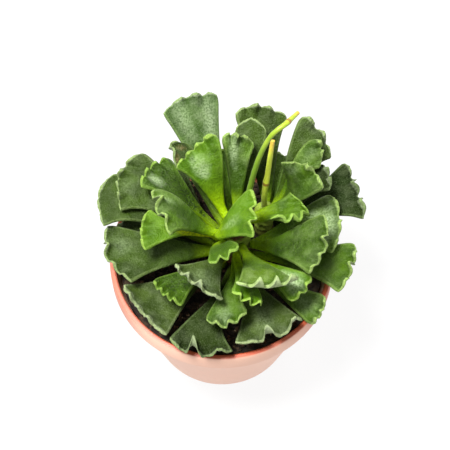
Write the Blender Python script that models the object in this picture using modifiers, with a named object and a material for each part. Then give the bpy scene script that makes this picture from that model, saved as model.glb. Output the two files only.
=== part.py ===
"""Crinkle-leaf plant in a small round pot.

Metres, +Z up. The origin is the centre of the pot's underside, +X runs to the plant's right
and +Y away from its front. Thick wedge-shaped leaves with a waved outer margin grow round a
short brown main stem and a side shoot, with two bare flower stalks above them.
"""
import math
from typing import NamedTuple

import bmesh
import bpy
import numpy as np

MM = 0.001
GAP = 0.3                       # clearance kept between pieces that touch, mm

# Pot, mm. A thin moulded pot with a folded lip, 85 mm across the lip.
POT_HEIGHT = 63.0
POT_BASE_RADIUS = 28.6
POT_BODY_RADIUS = 40.5          # outer wall just under the lip
POT_LIP_RADIUS = 42.5
POT_LIP_HEIGHT = 9.0
POT_WALL = 1.3
POT_LIP_WALL = 2.1
POT_FLOOR = 2.0
POT_EDGE = 0.7                  # bevel on the lip and the foot
POT_SIDES = 56
DRAIN_HOLES = 5
DRAIN_RADIUS = 3.0
DRAIN_CIRCLE = 17.0             # radius on which the drain holes stand

# Soil, mm.
SOIL_TOP = 55.0
SOIL_CROWN = 1.5                # the soil is heaped this much round the stems
SOIL_CROWN_SPREAD = 22.4        # and the heap is about this wide
SOIL_LUMP = 0.5
SOIL_RIPPLES = (0.41, 0.37)     # lumps to the mm along X and Y, and of the second, slanting set
SOIL_CROSS_RIPPLES = (0.29, 0.83)
SOIL_RIPPLE_START = 0.7
SOIL_SHOULDER = 3.0             # the soil draws back from the wall this far below its top
SOIL_SIDES = 40
SOIL_RINGS = 5

# Stems, mm.
STEM_FOOT = 38.0                # the stems end this high, inside the soil
STEM_SIDES = 16
STEM_RING_PITCH = 4.0           # leaf scars ring the stem at this spacing
STEM_SCAR = 0.35
STEM_SHOULDER = 2.0             # height of the rounded top
STEM_DOME = 0.4                 # how much of it lies inside half the radius

# Leaves, mm.
PETIOLE_HALF_WIDTH = 1.6
PETIOLE_HALF_DEPTH = 1.5
BLADE_HALF_DEPTH = 1.05
MARGIN_HALF_DEPTH = 0.6
ROOT_HOLD = 0.30                # share of its span in which a leaf keeps the direction of its root
TIP_HOLD = 0.35                 # and of its tip
BOWED_LENGTH = 1.03             # length of a leaf's bowed middle for each mm of its span
FLARE = 1.3                     # how hollow the side edges are, straight at 1
FOLD_AT_ROOT = 0.3              # share of the fold that the petiole has
FOLD_FULL = 0.6                 # share of the length at which the fold is whole
BLADE_FROM = 0.55               # share of the length at which the petiole has become the blade
THIN_FROM = 0.7                 # share of the length from which the blade thins to its margin
EDGE_ROUND = 2.5                # how late the blade thins to its side edges
CURL_LENGTH = 6.5               # the part of the blade that waves, back from the margin
LEAST_BEND = 0.001              # radians, so that a flat margin has a bend too
CREST_REACH = 0.027             # how much longer the crests of a bent-up margin are, for each degree
CREST_SWELL = 1.6               # how narrow a crest is
CREST_SIDE = 0.2                # widest half of an outermost crest, share of the margin
CORNER_FREE = 0.04              # share of the margin that this half may run past its corner
CORNER_BOW = 1.3                # how round the margin is between its tip and its corners
CORNER_ROUND = 1.0              # how much the corners are rounded off
CORNER_SHORT = 8                # and on how short a part of the margin
CORNER_IN = 0.9                 # how much each side edge turns in at the margin
CORNER_FROM = 0.9               # share of the length from which it does
LEAF_ROWS = (0.0, 0.16, 0.40, 0.65, 0.84, 0.92, 1.0)
WIDE_SPANS = (1, 2, 3, 5, 10, 20, 20)
NARROW_SPANS = (1, 2, 2, 4, 7, 14, 14)
NARROW_LEAF = 16.0              # leaves up to this wide take the narrow spans


class Stem(NamedTuple):
    """An upright stem: where it stands, how thick it is and how high it reaches, mm."""
    name: str
    x: float
    y: float
    radius: float
    top: float


class Leaf(NamedTuple):
    """One leaf, in mm and degrees.

    It leaves its stem at the root height, square to the stem and rising by its lift, and ends at
    the tip, the middle of its margin. Swing turns the root round the stem, away from the side that
    faces the tip. Pitch and turn are the slope and the sideways bend of its last part, roll tips
    its blade to one side and fold lifts both side edges.

    Lean is how far the margin is bent up, and curl how far its waves bend it up and down from
    there. Each crest has its place on the margin, 0 to 1 from corner to corner, and its height, 1
    for a common one. Corners are how far the two corners lie behind the tip. Stalk is the share of
    the length before the blade widens.
    """
    name: str
    stem: Stem
    root: float
    swing: float
    tip: tuple
    pitch: float
    turn: float
    roll: float
    width: float
    fold: float
    lean: float
    curl: float
    crests: tuple
    corners: tuple
    stalk: float
    age: str
    lift: float = 10.0


MAIN = Stem("main_stem", 5.5, 2.0, 5.0, 86.0)
SIDE = Stem("side_stem", 16.0, 14.0, 3.6, 75.0)
STEMS = (MAIN, SIDE)
YOUNG, GROWN, OLD = "young", "grown", "old"

# The numbers follow name and stem in this order: root height, swing, tip, pitch, turn, roll,
# width, fold, lean and curl, then the crests, the corners and the stalk.
LEAVES = (
    Leaf("leaf_01", MAIN, 66, 0, (-13, 55.5, 88), 8, -4, 5, 23.6, 10, 10, 35,
         ((0.33, 0.8), (0.64, 1), (0.88, 0.6)), (3.6, 1.2), 0.14, OLD),
    Leaf("leaf_02", MAIN, 75, 4, (-20.1, 30.9, 91), 6, 34, 6, 11.6, 10, 15, 35,
         ((0.3, 1), (0.72, 0.8)), (6.1, 3.7), 0.2, GROWN),
    Leaf("leaf_03", MAIN, 66.5, 0, (-39.9, 23, 80), -5, 21.3, -10, 25.8, 10, 15, 45,
         ((0.06, 0.4), (0.24, 0.8), (0.43, 0.5), (0.62, 1), (0.84, 0.6)), (3.3, 5.5), 0.14, OLD),
    Leaf("leaf_04", MAIN, 62, 0, (-47, 16, 75.6), -10, 26.4, -4, 23, 10, 5, 20,
         ((0.15, 0.5), (0.42, 0.5), (0.72, 0.9)), (0.3, 5.1), 0.14, OLD),
    Leaf("leaf_05", MAIN, 80, 0, (-10.4, 24, 101.4), 2, 5, -18, 20.2, 10, 10, 38,
         ((0.15, 0.8), (0.36, 0.9), (0.6, 0.8), (0.85, 0.9)), (0.9, 0.4), 0.14, YOUNG),
    Leaf("leaf_06", MAIN, 78, 0, (6.2, 32.9, 97), 16, -4.9, 10, 13, 25, 20, 50,
         ((0.12, 0.4), (0.42, 1), (0.74, 0.7)), (0.3, 1.6), 0.14, GROWN),
    Leaf("leaf_07", MAIN, 72, 0, (11, 41.1, 95), 18, 7.6, 2, 13, 10, 0, 6,
         ((0.3, 0.5), (0.7, 0.5)), (3.2, 3.7), 0.14, OLD),
    Leaf("leaf_08", SIDE, 63.5, -10, (15, 49.2, 91.2), 5, -8.5, 12, 21.3, 14, 10, 35,
         ((0.12, 0.3), (0.36, 1), (0.66, 0.8), (0.9, 0.5)), (2.9, 3.1), 0.06, OLD),
    Leaf("leaf_09", SIDE, 66, 0, (37.9, 40.6, 86), -8, -4.2, 17, 19.9, 10, 12, 40,
         ((0.14, 0.7), (0.6, 0.9), (0.86, 0.5)), (0.4, 4.8), 0.14, OLD),
    Leaf("leaf_10", SIDE, 69.5, 0, (37.9, 30, 90), -6, -20, 10, 12, 10, 15, 40,
         ((0.2, 0.8), (0.62, 0.7)), (0.3, 3.5), 0.14, OLD),
    Leaf("leaf_11", SIDE, 72.5, -10, (31.7, 21, 95), 10, 25.3, 2, 20.6, 10, 18, 45,
         ((0.2, 0.5), (0.55, 1), (0.86, 0.6)), (5.1, 2.6), 0.05, GROWN),
    Leaf("leaf_12", SIDE, 62.5, 0, (40.5, 22.6, 84), -4, -8.9, 0, 12.7, 10, 15, 40,
         ((0.3, 0.8), (0.72, 0.8)), (0.3, 0.3), 0.14, OLD),
    Leaf("leaf_13", MAIN, 67, 0, (44.9, 6.9, 75.5), -6, -5.4, -3, 26.5, 10, 20, 45,
         ((0.2, 0.7), (0.57, 1), (0.86, 0.5)), (1.6, 3.6), 0, OLD),
    Leaf("leaf_14", SIDE, 59, 0, (52.2, 22.6, 73), -8, 2.7, 4, 25.5, 12, 30, 60,
         ((0.12, 0.3), (0.42, 1), (0.78, 0.9)), (0.3, 0.3), 0.2, OLD),
    Leaf("leaf_15", MAIN, 82.5, 252, (12.1, -2.7, 103), 40, 3.9, 0, 20.3, 14, 10, 35,
         ((0.15, 0.3), (0.48, 0.9), (0.78, 1)), (0.3, 0.3), 0.14, YOUNG, 30),
    Leaf("leaf_16", MAIN, 82, 29, (32, 3, 89.5), 14, -3, -16, 18.5, 68, 10, 30,
         ((0.1, 0.5), (0.34, 1), (0.6, 1.2), (0.75, 1), (0.9, 0.8)), (7, 10), 0, YOUNG, 0),
    Leaf("leaf_17", MAIN, 72, 0, (38.2, -9.8, 90), 10, 1.8, 10, 24.6, 10, 22, 52,
         ((0.17, 0.4), (0.42, 1), (0.7, 0.7), (0.9, 0.6)), (3, 2.8), 0.08, GROWN),
    Leaf("leaf_18", MAIN, 77, 0, (16.4, -30, 91), 5, -9.7, -14, 25.6, 10, 85, 8,
         ((0.14, 0.9), (0.39, 1), (0.68, 1), (0.9, 0.3)), (1.5, 0.5), 0.14, GROWN),
    Leaf("leaf_19", MAIN, 68, 0, (30.3, -24, 81), 10, 1.5, 20, 13.1, 10, 20, 40,
         ((0.28, 0.8), (0.66, 0.8)), (1, 1.5), 0.2, GROWN),
    Leaf("leaf_20", MAIN, 63, 0, (49, -11, 73), 8, -3.3, 0, 22.4, 10, 28, 58,
         ((0.26, 0.7), (0.49, 1), (0.8, 0.6)), (1.4, 1.4), 0.2, OLD),
    Leaf("leaf_21", MAIN, 59.5, 0, (37.3, -26.3, 68), 10, 8, 18, 13.1, 10, 20, 38,
         ((0.15, 0.5), (0.5, 0.8), (0.8, 0.8)), (1.3, 0.3), 0.25, OLD),
    Leaf("leaf_22", MAIN, 63, 0, (18, -39, 71), 4, -6.6, 3, 27.3, 10, 35, 50,
         ((0.1, 1), (0.54, 1.3), (0.76, 0.4)), (3.3, 0.6), 0.2, OLD),
    Leaf("leaf_23", MAIN, 59.5, 0, (-7.5, -44.2, 68), -8, 20.3, 0, 24.5, 10, 28, 58,
         ((0.19, 0.9), (0.63, 1.4), (0.9, 0.4)), (1.2, 4.7), 0.35, OLD),
    Leaf("leaf_24", MAIN, 67, 4, (1.2, -37.1, 79), 0, 3, 19, 16.7, 10, 15, 40,
         ((0.12, 0.5), (0.35, 0.9), (0.68, 0.9)), (4.1, 3.1), 0.25, GROWN),
    Leaf("leaf_25", MAIN, 71, -6, (8.9, -30.4, 86), 14, -14.1, -28, 13.4, 10, 15, 42,
         ((0.15, 0.8), (0.5, 0.8), (0.82, 0.6)), (0.5, 1.3), 0.2, YOUNG),
    Leaf("leaf_26", MAIN, 77.8, -32, (1.4, -19.4, 98), 20, 8, 18, 13.2, 16, 12, 28,
         ((0.27, 0.8), (0.62, 0.9)), (2.3, 0.9), 0, YOUNG, 22),
    Leaf("leaf_27", MAIN, 75, 0, (-10.5, -25.4, 85), 10, -0.8, -12, 23.5, 10, 65, 22,
         ((0.14, 0.6), (0.47, 1), (0.73, 0.9), (0.93, 0.6)), (0.3, 0.5), 0.25, OLD),
    Leaf("leaf_28", MAIN, 66.5, 0, (-21, -23.2, 76), 10, 5.7, 0, 15.8, 10, 15, 38,
         ((0.2, 0.8), (0.43, 0.8), (0.67, 0.8), (0.88, 0.6)), (0.3, 0.7), 0.32, GROWN),
    Leaf("leaf_29", MAIN, 59, 0, (-30.3, -26.5, 66), 4, 0.4, 0, 27.9, 10, 42, 24,
         ((0.12, 0.7), (0.35, 1), (0.58, 0.8), (0.8, 1)), (0.4, 0.3), 0.25, OLD),
    Leaf("leaf_30", MAIN, 64.5, 0, (-43.8, -5.5, 73), 8, 2.9, 4, 26.7, 10, 25, 52,
         ((0.1, 0.5), (0.3, 0.7), (0.62, 1), (0.88, 0.5)), (6.8, 2), 0.04, OLD),
    Leaf("leaf_31", MAIN, 75, -6, (-30, 1, 82), 6, -1.8, -8, 17.2, 10, 10, 34,
         ((0.2, 0.6), (0.45, 0.7), (0.72, 0.8)), (0.6, 2), 0.45, YOUNG),
    Leaf("leaf_32", MAIN, 78.5, 8, (-23.7, 1.7, 95), 12, 18.8, 8, 21.2, 10, 20, 62,
         ((0.27, 0.8), (0.68, 1), (0.93, 0.3)), (2.7, 0.3), 0.14, GROWN),
    Leaf("leaf_33", MAIN, 70, 0, (-27.6, 25.2, 85), -3, 1.7, 10, 18.8, 10, 15, 42,
         ((0.15, 0.7), (0.4, 0.7), (0.66, 0.8), (0.88, 0.6)), (1.5, 3), 0.3, GROWN),
    Leaf("leaf_34", MAIN, 58.5, 0, (-40, 10, 66), 0, 0, 0, 20, 10, 10, 35,
         ((0.15, 0.7), (0.5, 1), (0.82, 0.7)), (3.6, 3.6), 0.25, OLD),
    Leaf("leaf_35", MAIN, 60, 0, (-25, 32, 67), 0, 0, 0, 22, 10, 10, 35,
         ((0.2, 0.8), (0.48, 0.8), (0.8, 1)), (3.4, 3.4), 0.25, OLD),
    Leaf("leaf_36", MAIN, 58.5, 0, (0, 43, 68), 2, 0, 0, 22, 10, 10, 35,
         ((0.18, 1), (0.5, 0.8), (0.82, 0.8)), (3.3, 3.3), 0.4, OLD),
    Leaf("leaf_37", SIDE, 59, 0, (27, 41, 68), 0, 0, 0, 20, 10, 10, 35,
         ((0.2, 0.8), (0.55, 1), (0.85, 0.7)), (2.6, 2.6), 0.25, OLD),
)

# Flower stalks, mm: a route of points, each with the stalk's radius there.
FRONT_STALK = (
    (8.8, 7.8, 81, 1.35), (8.9, 8.5, 85, 1.3), (9.6, 10.4, 90, 1.25), (10.5, 12, 96, 1.25),
    (11.5, 12.8, 103, 1.2), (13, 14, 111, 1.15), (15, 15.5, 117, 1.1), (17, 17, 121, 1.05),
    (19.5, 18.4, 123, 1.0), (22, 20, 123.5, 1.15), (24.3, 23, 122.8, 0.95), (26.5, 26, 121.5, 0.8),
)
BACK_STALK = (
    (16, 14.2, 75.6, 1.35), (15.8, 13.4, 79, 1.3), (15.6, 12.9, 84, 1.25), (15.6, 12.8, 88, 1.2),
    (16, 13.6, 94, 1.35), (16.6, 15.2, 98.5, 1.1), (17, 17, 103, 1.05), (17.6, 19, 108.5, 1.0),
    (18, 20.5, 112, 0.8),
)

# Colours, as linear red, green and blue, with a roughness.
COLOURS = {
    YOUNG: ((0.16, 0.36, 0.03), 0.45),
    GROWN: ((0.07, 0.20, 0.03), 0.5),
    OLD: ((0.05, 0.12, 0.03), 0.6),
    "pot": ((0.72, 0.30, 0.19), 0.45),
    "soil": ((0.03, 0.02, 0.013), 0.95),
    "stem": ((0.20, 0.08, 0.035), 0.8),
    "stalk": ((0.42, 0.50, 0.06), 0.5),
}


def clear_scene():
    """Remove the objects that the scene starts with."""
    for obj in list(bpy.data.objects):
        bpy.data.objects.remove(obj, do_unlink=True)


def new_collection(name, parent):
    """A new collection under the given one."""
    collection = bpy.data.collections.new(name)
    parent.children.link(collection)
    return collection


def plain_material(name):
    """A Principled material with the colour and roughness listed for the name."""
    colour, roughness = COLOURS[name]
    material = bpy.data.materials.new(name)
    material.use_nodes = True
    shader = material.node_tree.nodes["Principled BSDF"]
    shader.inputs["Base Color"].default_value = (*colour, 1.0)
    shader.inputs["Roughness"].default_value = roughness
    return material


def add_object(name, data, collection, material):
    """Link an object with the given data and material into the collection."""
    obj = bpy.data.objects.new(name, data)
    data.materials.append(material)
    collection.objects.link(obj)
    return obj


def turned(name, outline, sides, collection, material):
    """Turn an outline of (radius, height) points about Z, from top to bottom of its outside."""
    mesh = bpy.data.meshes.new(name)
    edges = [(i, i + 1) for i in range(len(outline) - 1)]
    mesh.from_pydata([(r * MM, 0.0, z * MM) for r, z in outline], edges, [])
    obj = add_object(name, mesh, collection, material)
    screw = obj.modifiers.new("turn", "SCREW")
    screw.steps = screw.render_steps = sides
    screw.use_merge_vertices = True
    screw.merge_threshold = 0.00001
    screw.use_smooth_shade = True
    return obj


def add_cutter(name, x, y, radius, bottom, top, sides, collection):
    """An upright cylinder that a Boolean modifier takes away, mm."""
    bpy.ops.mesh.primitive_cylinder_add(vertices=sides, radius=radius * MM, depth=(top - bottom) * MM,
                                        location=(x * MM, y * MM, (top + bottom) / 2 * MM))
    cutter = bpy.context.active_object
    cutter.name = name
    cutter.display_type = "WIRE"
    cutter.hide_render = True
    for old in list(cutter.users_collection):
        old.objects.unlink(cutter)
    collection.objects.link(cutter)
    return cutter


def cut(obj, cutter):
    """Take the cutter away from the object."""
    boolean = obj.modifiers.new(cutter.name, "BOOLEAN")
    boolean.operation = "DIFFERENCE"
    boolean.solver = "EXACT"
    boolean.object = cutter


def wall_radius(height):
    """The pot's outer radius at a height below the lip."""
    share = height / (POT_HEIGHT - POT_LIP_HEIGHT)
    return POT_BASE_RADIUS + (POT_BODY_RADIUS - POT_BASE_RADIUS) * share


def make_pot(collection, cutters, material):
    """The pot: a tapered wall, a thicker lip and a flat floor with drain holes."""
    lip_foot = POT_HEIGHT - POT_LIP_HEIGHT
    lip_inside = POT_LIP_RADIUS - POT_LIP_WALL
    outline = (
        (0.0, POT_FLOOR),
        (wall_radius(POT_FLOOR) - POT_WALL, POT_FLOOR),
        (POT_BODY_RADIUS - POT_WALL, lip_foot),
        (lip_inside, POT_HEIGHT - POT_EDGE),
        (lip_inside + POT_EDGE, POT_HEIGHT),
        (POT_LIP_RADIUS - POT_EDGE, POT_HEIGHT),
        (POT_LIP_RADIUS, POT_HEIGHT - POT_EDGE),
        (POT_LIP_RADIUS, lip_foot + POT_EDGE / 2),
        (POT_LIP_RADIUS - POT_EDGE / 2, lip_foot),
        (POT_BODY_RADIUS, lip_foot),
        (wall_radius(POT_EDGE), POT_EDGE),
        (POT_BASE_RADIUS - POT_EDGE, 0.0),
        (0.0, 0.0),
    )
    pot = turned("pot", outline, POT_SIDES, collection, material)
    for i in range(DRAIN_HOLES):
        angle = math.tau * i / DRAIN_HOLES
        cutter = add_cutter(f"drain_{i}", DRAIN_CIRCLE * math.cos(angle), DRAIN_CIRCLE * math.sin(angle),
                            DRAIN_RADIUS, -1.0, POT_FLOOR + 1.0, 20, cutters)
        cut(pot, cutter)
    return pot


def soil_height(x, y):
    """The soil's surface: heaped round the stems and slightly lumpy."""
    away = math.hypot(x - MAIN.x, y - MAIN.y) / SOIL_CROWN_SPREAD
    heap = SOIL_CROWN * math.exp(-away ** 2)
    lumps = math.sin(SOIL_RIPPLES[0] * x + SOIL_RIPPLE_START) * math.cos(SOIL_RIPPLES[1] * y)
    lumps += math.sin(SOIL_CROSS_RIPPLES[0] * x + SOIL_CROSS_RIPPLES[1] * y)
    return SOIL_TOP + heap + SOIL_LUMP * lumps


def make_soil(collection, cutters, material):
    """The soil fills the pot from its floor and has a plain hole for each stem."""
    inside = POT_WALL + GAP
    foot = POT_FLOOR + GAP
    shoulder = SOIL_TOP - SOIL_SHOULDER
    edge = wall_radius(shoulder) - inside
    outline = [(edge * i / SOIL_RINGS, SOIL_TOP) for i in range(SOIL_RINGS + 1)]
    outline += [(edge, shoulder), (wall_radius(foot) - inside, foot), (0.0, foot)]
    soil = turned("soil", outline, SOIL_SIDES, collection, material)
    bpy.context.view_layer.update()
    evaluated = soil.evaluated_get(bpy.context.evaluated_depsgraph_get())
    mesh = bpy.data.meshes.new_from_object(evaluated)
    for vertex in mesh.vertices:
        if vertex.co.z > (SOIL_TOP - SOIL_SHOULDER / 2) * MM:
            vertex.co.z = soil_height(vertex.co.x / MM, vertex.co.y / MM) * MM
    soil.modifiers.clear()
    soil.data = mesh
    for stem in STEMS:
        cutter = add_cutter(f"{stem.name}_hole", stem.x, stem.y, stem.radius + GAP,
                            STEM_FOOT - GAP, POT_HEIGHT, 24, cutters)
        cut(soil, cutter)
    return soil


def make_stem(stem, collection, material):
    """A rough upright stem ringed by leaf scars, with a rounded top."""
    inner = stem.radius - STEM_SCAR
    shoulder = stem.top - STEM_SHOULDER
    outline = [(0.0, stem.top), (inner / 2, stem.top - STEM_DOME), (inner, shoulder)]
    rings = int((shoulder - SOIL_TOP) / STEM_RING_PITCH)
    for ring in range(rings):
        scar = shoulder - (ring + 0.5) * STEM_RING_PITCH
        outline += [(stem.radius, scar), (inner, scar - STEM_RING_PITCH / 2)]
    outline += [(inner, STEM_FOOT), (0.0, STEM_FOOT)]
    obj = turned(stem.name, outline, STEM_SIDES, collection, material)
    obj.location = (stem.x * MM, stem.y * MM, 0.0)
    return obj


def make_stalk(name, route, collection, material):
    """A bare flower stalk, a tapered tube through the points of its route."""
    curve = bpy.data.curves.new(name, "CURVE")
    curve.dimensions = "3D"
    curve.bevel_depth = MM
    curve.bevel_resolution = 1
    curve.use_fill_caps = True
    spline = curve.splines.new("POLY")
    spline.points.add(len(route) - 1)
    for point, (x, y, z, radius) in zip(spline.points, route):
        point.co = (x * MM, y * MM, z * MM, 1.0)
        point.radius = radius
    return add_object(name, curve, collection, material)


def smooth_step(value):
    """Ease from 0 to 1."""
    value = np.clip(value, 0.0, 1.0)
    return value * value * (3.0 - 2.0 * value)


def unit(vector):
    """The vector at length 1, along the last axis."""
    return vector / np.linalg.norm(vector, axis=-1, keepdims=True)


def centreline(leaf):
    """The four Bezier points of a leaf's middle, from its root on the stem to its tip."""
    stem = leaf.stem
    tip = np.array(leaf.tip, float)
    heading = math.atan2(tip[1] - stem.y, tip[0] - stem.x) + math.radians(leaf.swing)
    outward = np.array([math.cos(heading), math.sin(heading), 0.0])
    pitch, lift = math.radians(leaf.pitch), math.radians(leaf.lift)
    clearance = GAP + PETIOLE_HALF_DEPTH * math.sin(lift)
    root = np.array([stem.x, stem.y, leaf.root]) + outward * (stem.radius + clearance)
    across = math.atan2(tip[1] - root[1], tip[0] - root[0]) + math.radians(leaf.turn)
    start = outward * math.cos(lift) + np.array([0.0, 0.0, math.sin(lift)])
    end = np.array([math.cos(across), math.sin(across), math.tan(pitch)]) * math.cos(pitch)
    span = np.linalg.norm(tip - root)
    return root, root + start * span * ROOT_HOLD, tip - end * span * TIP_HOLD, tip


def margin_wave(crests, place):
    """How the margin is bent at places on it: -1 in its lobes and up to 1 at its crests.

    Each crest reaches halfway to the next one on both sides.
    """
    wave = np.full(place.shape, -1.0)
    for number, (centre, height) in enumerate(crests):
        before = min(centre + CORNER_FREE, CREST_SIDE)
        after = min(1.0 - centre + CORNER_FREE, CREST_SIDE)
        if number > 0:
            before = (centre - crests[number - 1][0]) / 2
        if number < len(crests) - 1:
            after = (crests[number + 1][0] - centre) / 2
        away = np.where(place < centre, (centre - place) / before, (place - centre) / after)
        wave += 2.0 * height * np.cos(np.clip(away, 0.0, 1.0) * math.pi / 2) ** CREST_SWELL
    return wave


def leaf_point(leaf, across, along, side):
    """Points of a leaf's surface, mm.

    Across runs -1 to 1 from side edge to side edge, along runs 0 to 1 from root to margin,
    and side is 1 on the upper face and -1 on the lower one.
    """
    a, b, c, d = centreline(leaf)
    length = np.linalg.norm(d - a) * BOWED_LENGTH
    spread = np.clip((along - leaf.stalk) / (1.0 - leaf.stalk), 0.0, 1.0) ** FLARE
    half_width = PETIOLE_HALF_WIDTH + (leaf.width / 2 - PETIOLE_HALF_WIDTH) * spread
    half_width -= CORNER_IN * np.clip((along - CORNER_FROM) / (1.0 - CORNER_FROM), 0.0, 1.0) ** 2

    # The waved margin: the last part of the blade bends up and down in turn.
    wave = margin_wave(leaf.crests, (across + 1.0) / 2)
    bend = np.radians(leaf.lean + leaf.curl * wave)
    bend = np.where(np.abs(bend) < LEAST_BEND, LEAST_BEND, bend)
    side_away = np.abs(across)
    lag = np.where(across < 0, leaf.corners[0], leaf.corners[1]) * side_away ** CORNER_BOW
    lag = lag + CORNER_ROUND * side_away ** CORNER_SHORT
    reach = length * along - lag * spread ** 2
    curl_start = length - lag - CURL_LENGTH
    past = np.clip(reach - curl_start, 0.0, None)
    past = past * (1.0 + CREST_REACH * leaf.lean * wave * past / CURL_LENGTH ** 2)
    angle = bend * past / CURL_LENGTH
    forward = np.where(past > 0, curl_start + CURL_LENGTH / bend * np.sin(angle), reach)
    upward = CURL_LENGTH / bend * (1.0 - np.cos(angle))

    # The thickness, less towards the margin and the side edges.
    blade = smooth_step(along / BLADE_FROM)
    depth = PETIOLE_HALF_DEPTH + (BLADE_HALF_DEPTH - PETIOLE_HALF_DEPTH) * blade
    thinning = smooth_step((along - THIN_FROM) / (1.0 - THIN_FROM))
    depth = depth + (MARGIN_HALF_DEPTH - BLADE_HALF_DEPTH) * thinning
    rounding = np.sqrt(np.clip(1.0 - side_away ** EDGE_ROUND, 0.0, 1.0))
    half_depth = side * (MARGIN_HALF_DEPTH + (depth - MARGIN_HALF_DEPTH) * rounding)
    forward = forward - half_depth * np.sin(angle)
    upward = upward + half_depth * np.cos(angle)

    # The fold lifts both side edges on an arc.
    folded = FOLD_AT_ROOT + (1.0 - FOLD_AT_ROOT) * smooth_step(along / FOLD_FULL)
    fold = math.radians(leaf.fold) * folded
    sideways = (half_width / fold - upward) * np.sin(fold * across)
    upward = half_width / fold * (1.0 - np.cos(fold * across)) + upward * np.cos(fold * across)

    # Along the centreline, with the blade rolled over towards its end.
    share = forward / length
    t = np.clip(share, 0.0, 1.0)[..., None]
    middle = (1 - t) ** 3 * a + 3 * (1 - t) ** 2 * t * b + 3 * (1 - t) * t ** 2 * c + t ** 3 * d
    ahead = unit((1 - t) ** 2 * (b - a) + 2 * (1 - t) * t * (c - b) + t ** 2 * (d - c))
    middle = middle + ahead * (share[..., None] - t) * length
    right = unit(np.cross(ahead, (0.0, 0.0, 1.0)))
    top = np.cross(right, ahead)
    roll = (math.radians(leaf.roll) * blade)[..., None]
    rolled_right = right * np.cos(roll) - top * np.sin(roll)
    rolled_top = top * np.cos(roll) + right * np.sin(roll)
    return middle + rolled_right * sideways[..., None] + rolled_top * upward[..., None]


def zip_rows(first, second):
    """Triangles between two rows of vertices that may differ in number."""
    i, j = 0, 0
    triangles = []
    while i < len(first) - 1 or j < len(second) - 1:
        step_first = (i + 1) / (len(first) - 1) if i < len(first) - 1 else 2.0
        step_second = (j + 1) / (len(second) - 1) if j < len(second) - 1 else 2.0
        if step_first < step_second:
            triangles.append((first[i], first[i + 1], second[j]))
            i += 1
        else:
            triangles.append((first[i], second[j + 1], second[j]))
            j += 1
    return triangles


def make_leaf(leaf, collection, material):
    """One leaf: rows of points that grow in number towards the waved margin, in two faces."""
    spans = NARROW_SPANS if leaf.width <= NARROW_LEAF else WIDE_SPANS
    mesh = bmesh.new()
    faces = {}
    for side in (1, -1):
        rows = []
        for along, count in zip(LEAF_ROWS, spans):
            across = np.linspace(-1.0, 1.0, count + 1)
            points = leaf_point(leaf, across, np.full(count + 1, along), side)
            rows.append([mesh.verts.new(point * MM) for point in points])
        faces[side] = rows
    upper, lower = faces[1], faces[-1]
    triangles = []
    for row in range(len(upper) - 1):
        triangles += zip_rows(upper[row], upper[row + 1])
        triangles += [(p, r, q) for p, q, r in zip_rows(lower[row], lower[row + 1])]
    rims = (upper[0], lower[0]), (lower[-1], upper[-1])
    edges = ([row[-1] for row in upper], [row[-1] for row in lower])
    rims += (edges, ([row[0] for row in lower], [row[0] for row in upper]))
    for over, under in rims:
        for k in range(len(over) - 1):
            triangles += [(over[k + 1], over[k], under[k]), (over[k + 1], under[k], under[k + 1])]
    for triangle in triangles:
        mesh.faces.new(triangle)
    bmesh.ops.recalc_face_normals(mesh, faces=mesh.faces)
    data = bpy.data.meshes.new(leaf.name)
    mesh.to_mesh(data)
    mesh.free()
    data.shade_smooth()
    return add_object(leaf.name, data, collection, material)


def main():
    """Build the plant, the soil and the pot."""
    clear_scene()
    plant = new_collection("potted_crinkle_leaf_plant", bpy.context.scene.collection)
    cutters = new_collection("cutters", bpy.context.scene.collection)
    materials = {name: plain_material(name) for name in COLOURS}
    make_pot(plant, cutters, materials["pot"])
    make_soil(plant, cutters, materials["soil"])
    for stem in STEMS:
        make_stem(stem, plant, materials["stem"])
    make_stalk("flower_stalk_front", FRONT_STALK, plant, materials["stalk"])
    make_stalk("flower_stalk_back", BACK_STALK, plant, materials["stalk"])
    for leaf in LEAVES:
        make_leaf(leaf, plant, materials[leaf.age])


main()
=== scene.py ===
"""Looks of the potted crinkle-leaf plant.

Metres, +Z up, in the frame of the CAD model. Lengths inside the classes are in millimetres and
are scaled where a mesh gets its points. Colours are red, green and blue as a screen shows them,
0 to 255. Each leaf starts as a copy of one flat blank and is bent to its own shape, so the same
few rules give every petiole, fold and waved margin.
"""
from __future__ import annotations

import logging
import math
import random
from collections.abc import Callable, Mapping, Sequence
from dataclasses import dataclass
from enum import Enum
from itertools import pairwise
from typing import Any

import bmesh
import bpy
import numpy as np
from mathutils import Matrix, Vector, noise

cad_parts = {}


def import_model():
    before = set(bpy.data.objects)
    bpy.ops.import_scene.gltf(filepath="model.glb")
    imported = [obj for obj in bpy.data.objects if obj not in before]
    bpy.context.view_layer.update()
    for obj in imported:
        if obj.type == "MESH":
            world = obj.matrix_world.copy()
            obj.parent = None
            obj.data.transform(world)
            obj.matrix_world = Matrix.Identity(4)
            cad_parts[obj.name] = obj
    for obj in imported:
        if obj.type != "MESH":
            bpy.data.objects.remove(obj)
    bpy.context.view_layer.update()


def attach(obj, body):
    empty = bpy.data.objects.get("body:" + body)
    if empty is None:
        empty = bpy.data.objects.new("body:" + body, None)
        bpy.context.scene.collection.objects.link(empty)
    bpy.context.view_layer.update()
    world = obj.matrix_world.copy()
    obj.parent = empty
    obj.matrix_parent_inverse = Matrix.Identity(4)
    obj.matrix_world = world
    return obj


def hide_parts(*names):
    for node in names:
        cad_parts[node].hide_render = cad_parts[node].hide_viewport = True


MM = 0.001
ROOT_BODY = "root"
LOG = logging.getLogger("plant")

Colour = tuple[int, int, int]
Feed = Any
Array = np.ndarray
Material = bpy.types.Material
Piece = bpy.types.Object

BLACK: Colour = (0, 0, 0)


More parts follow.
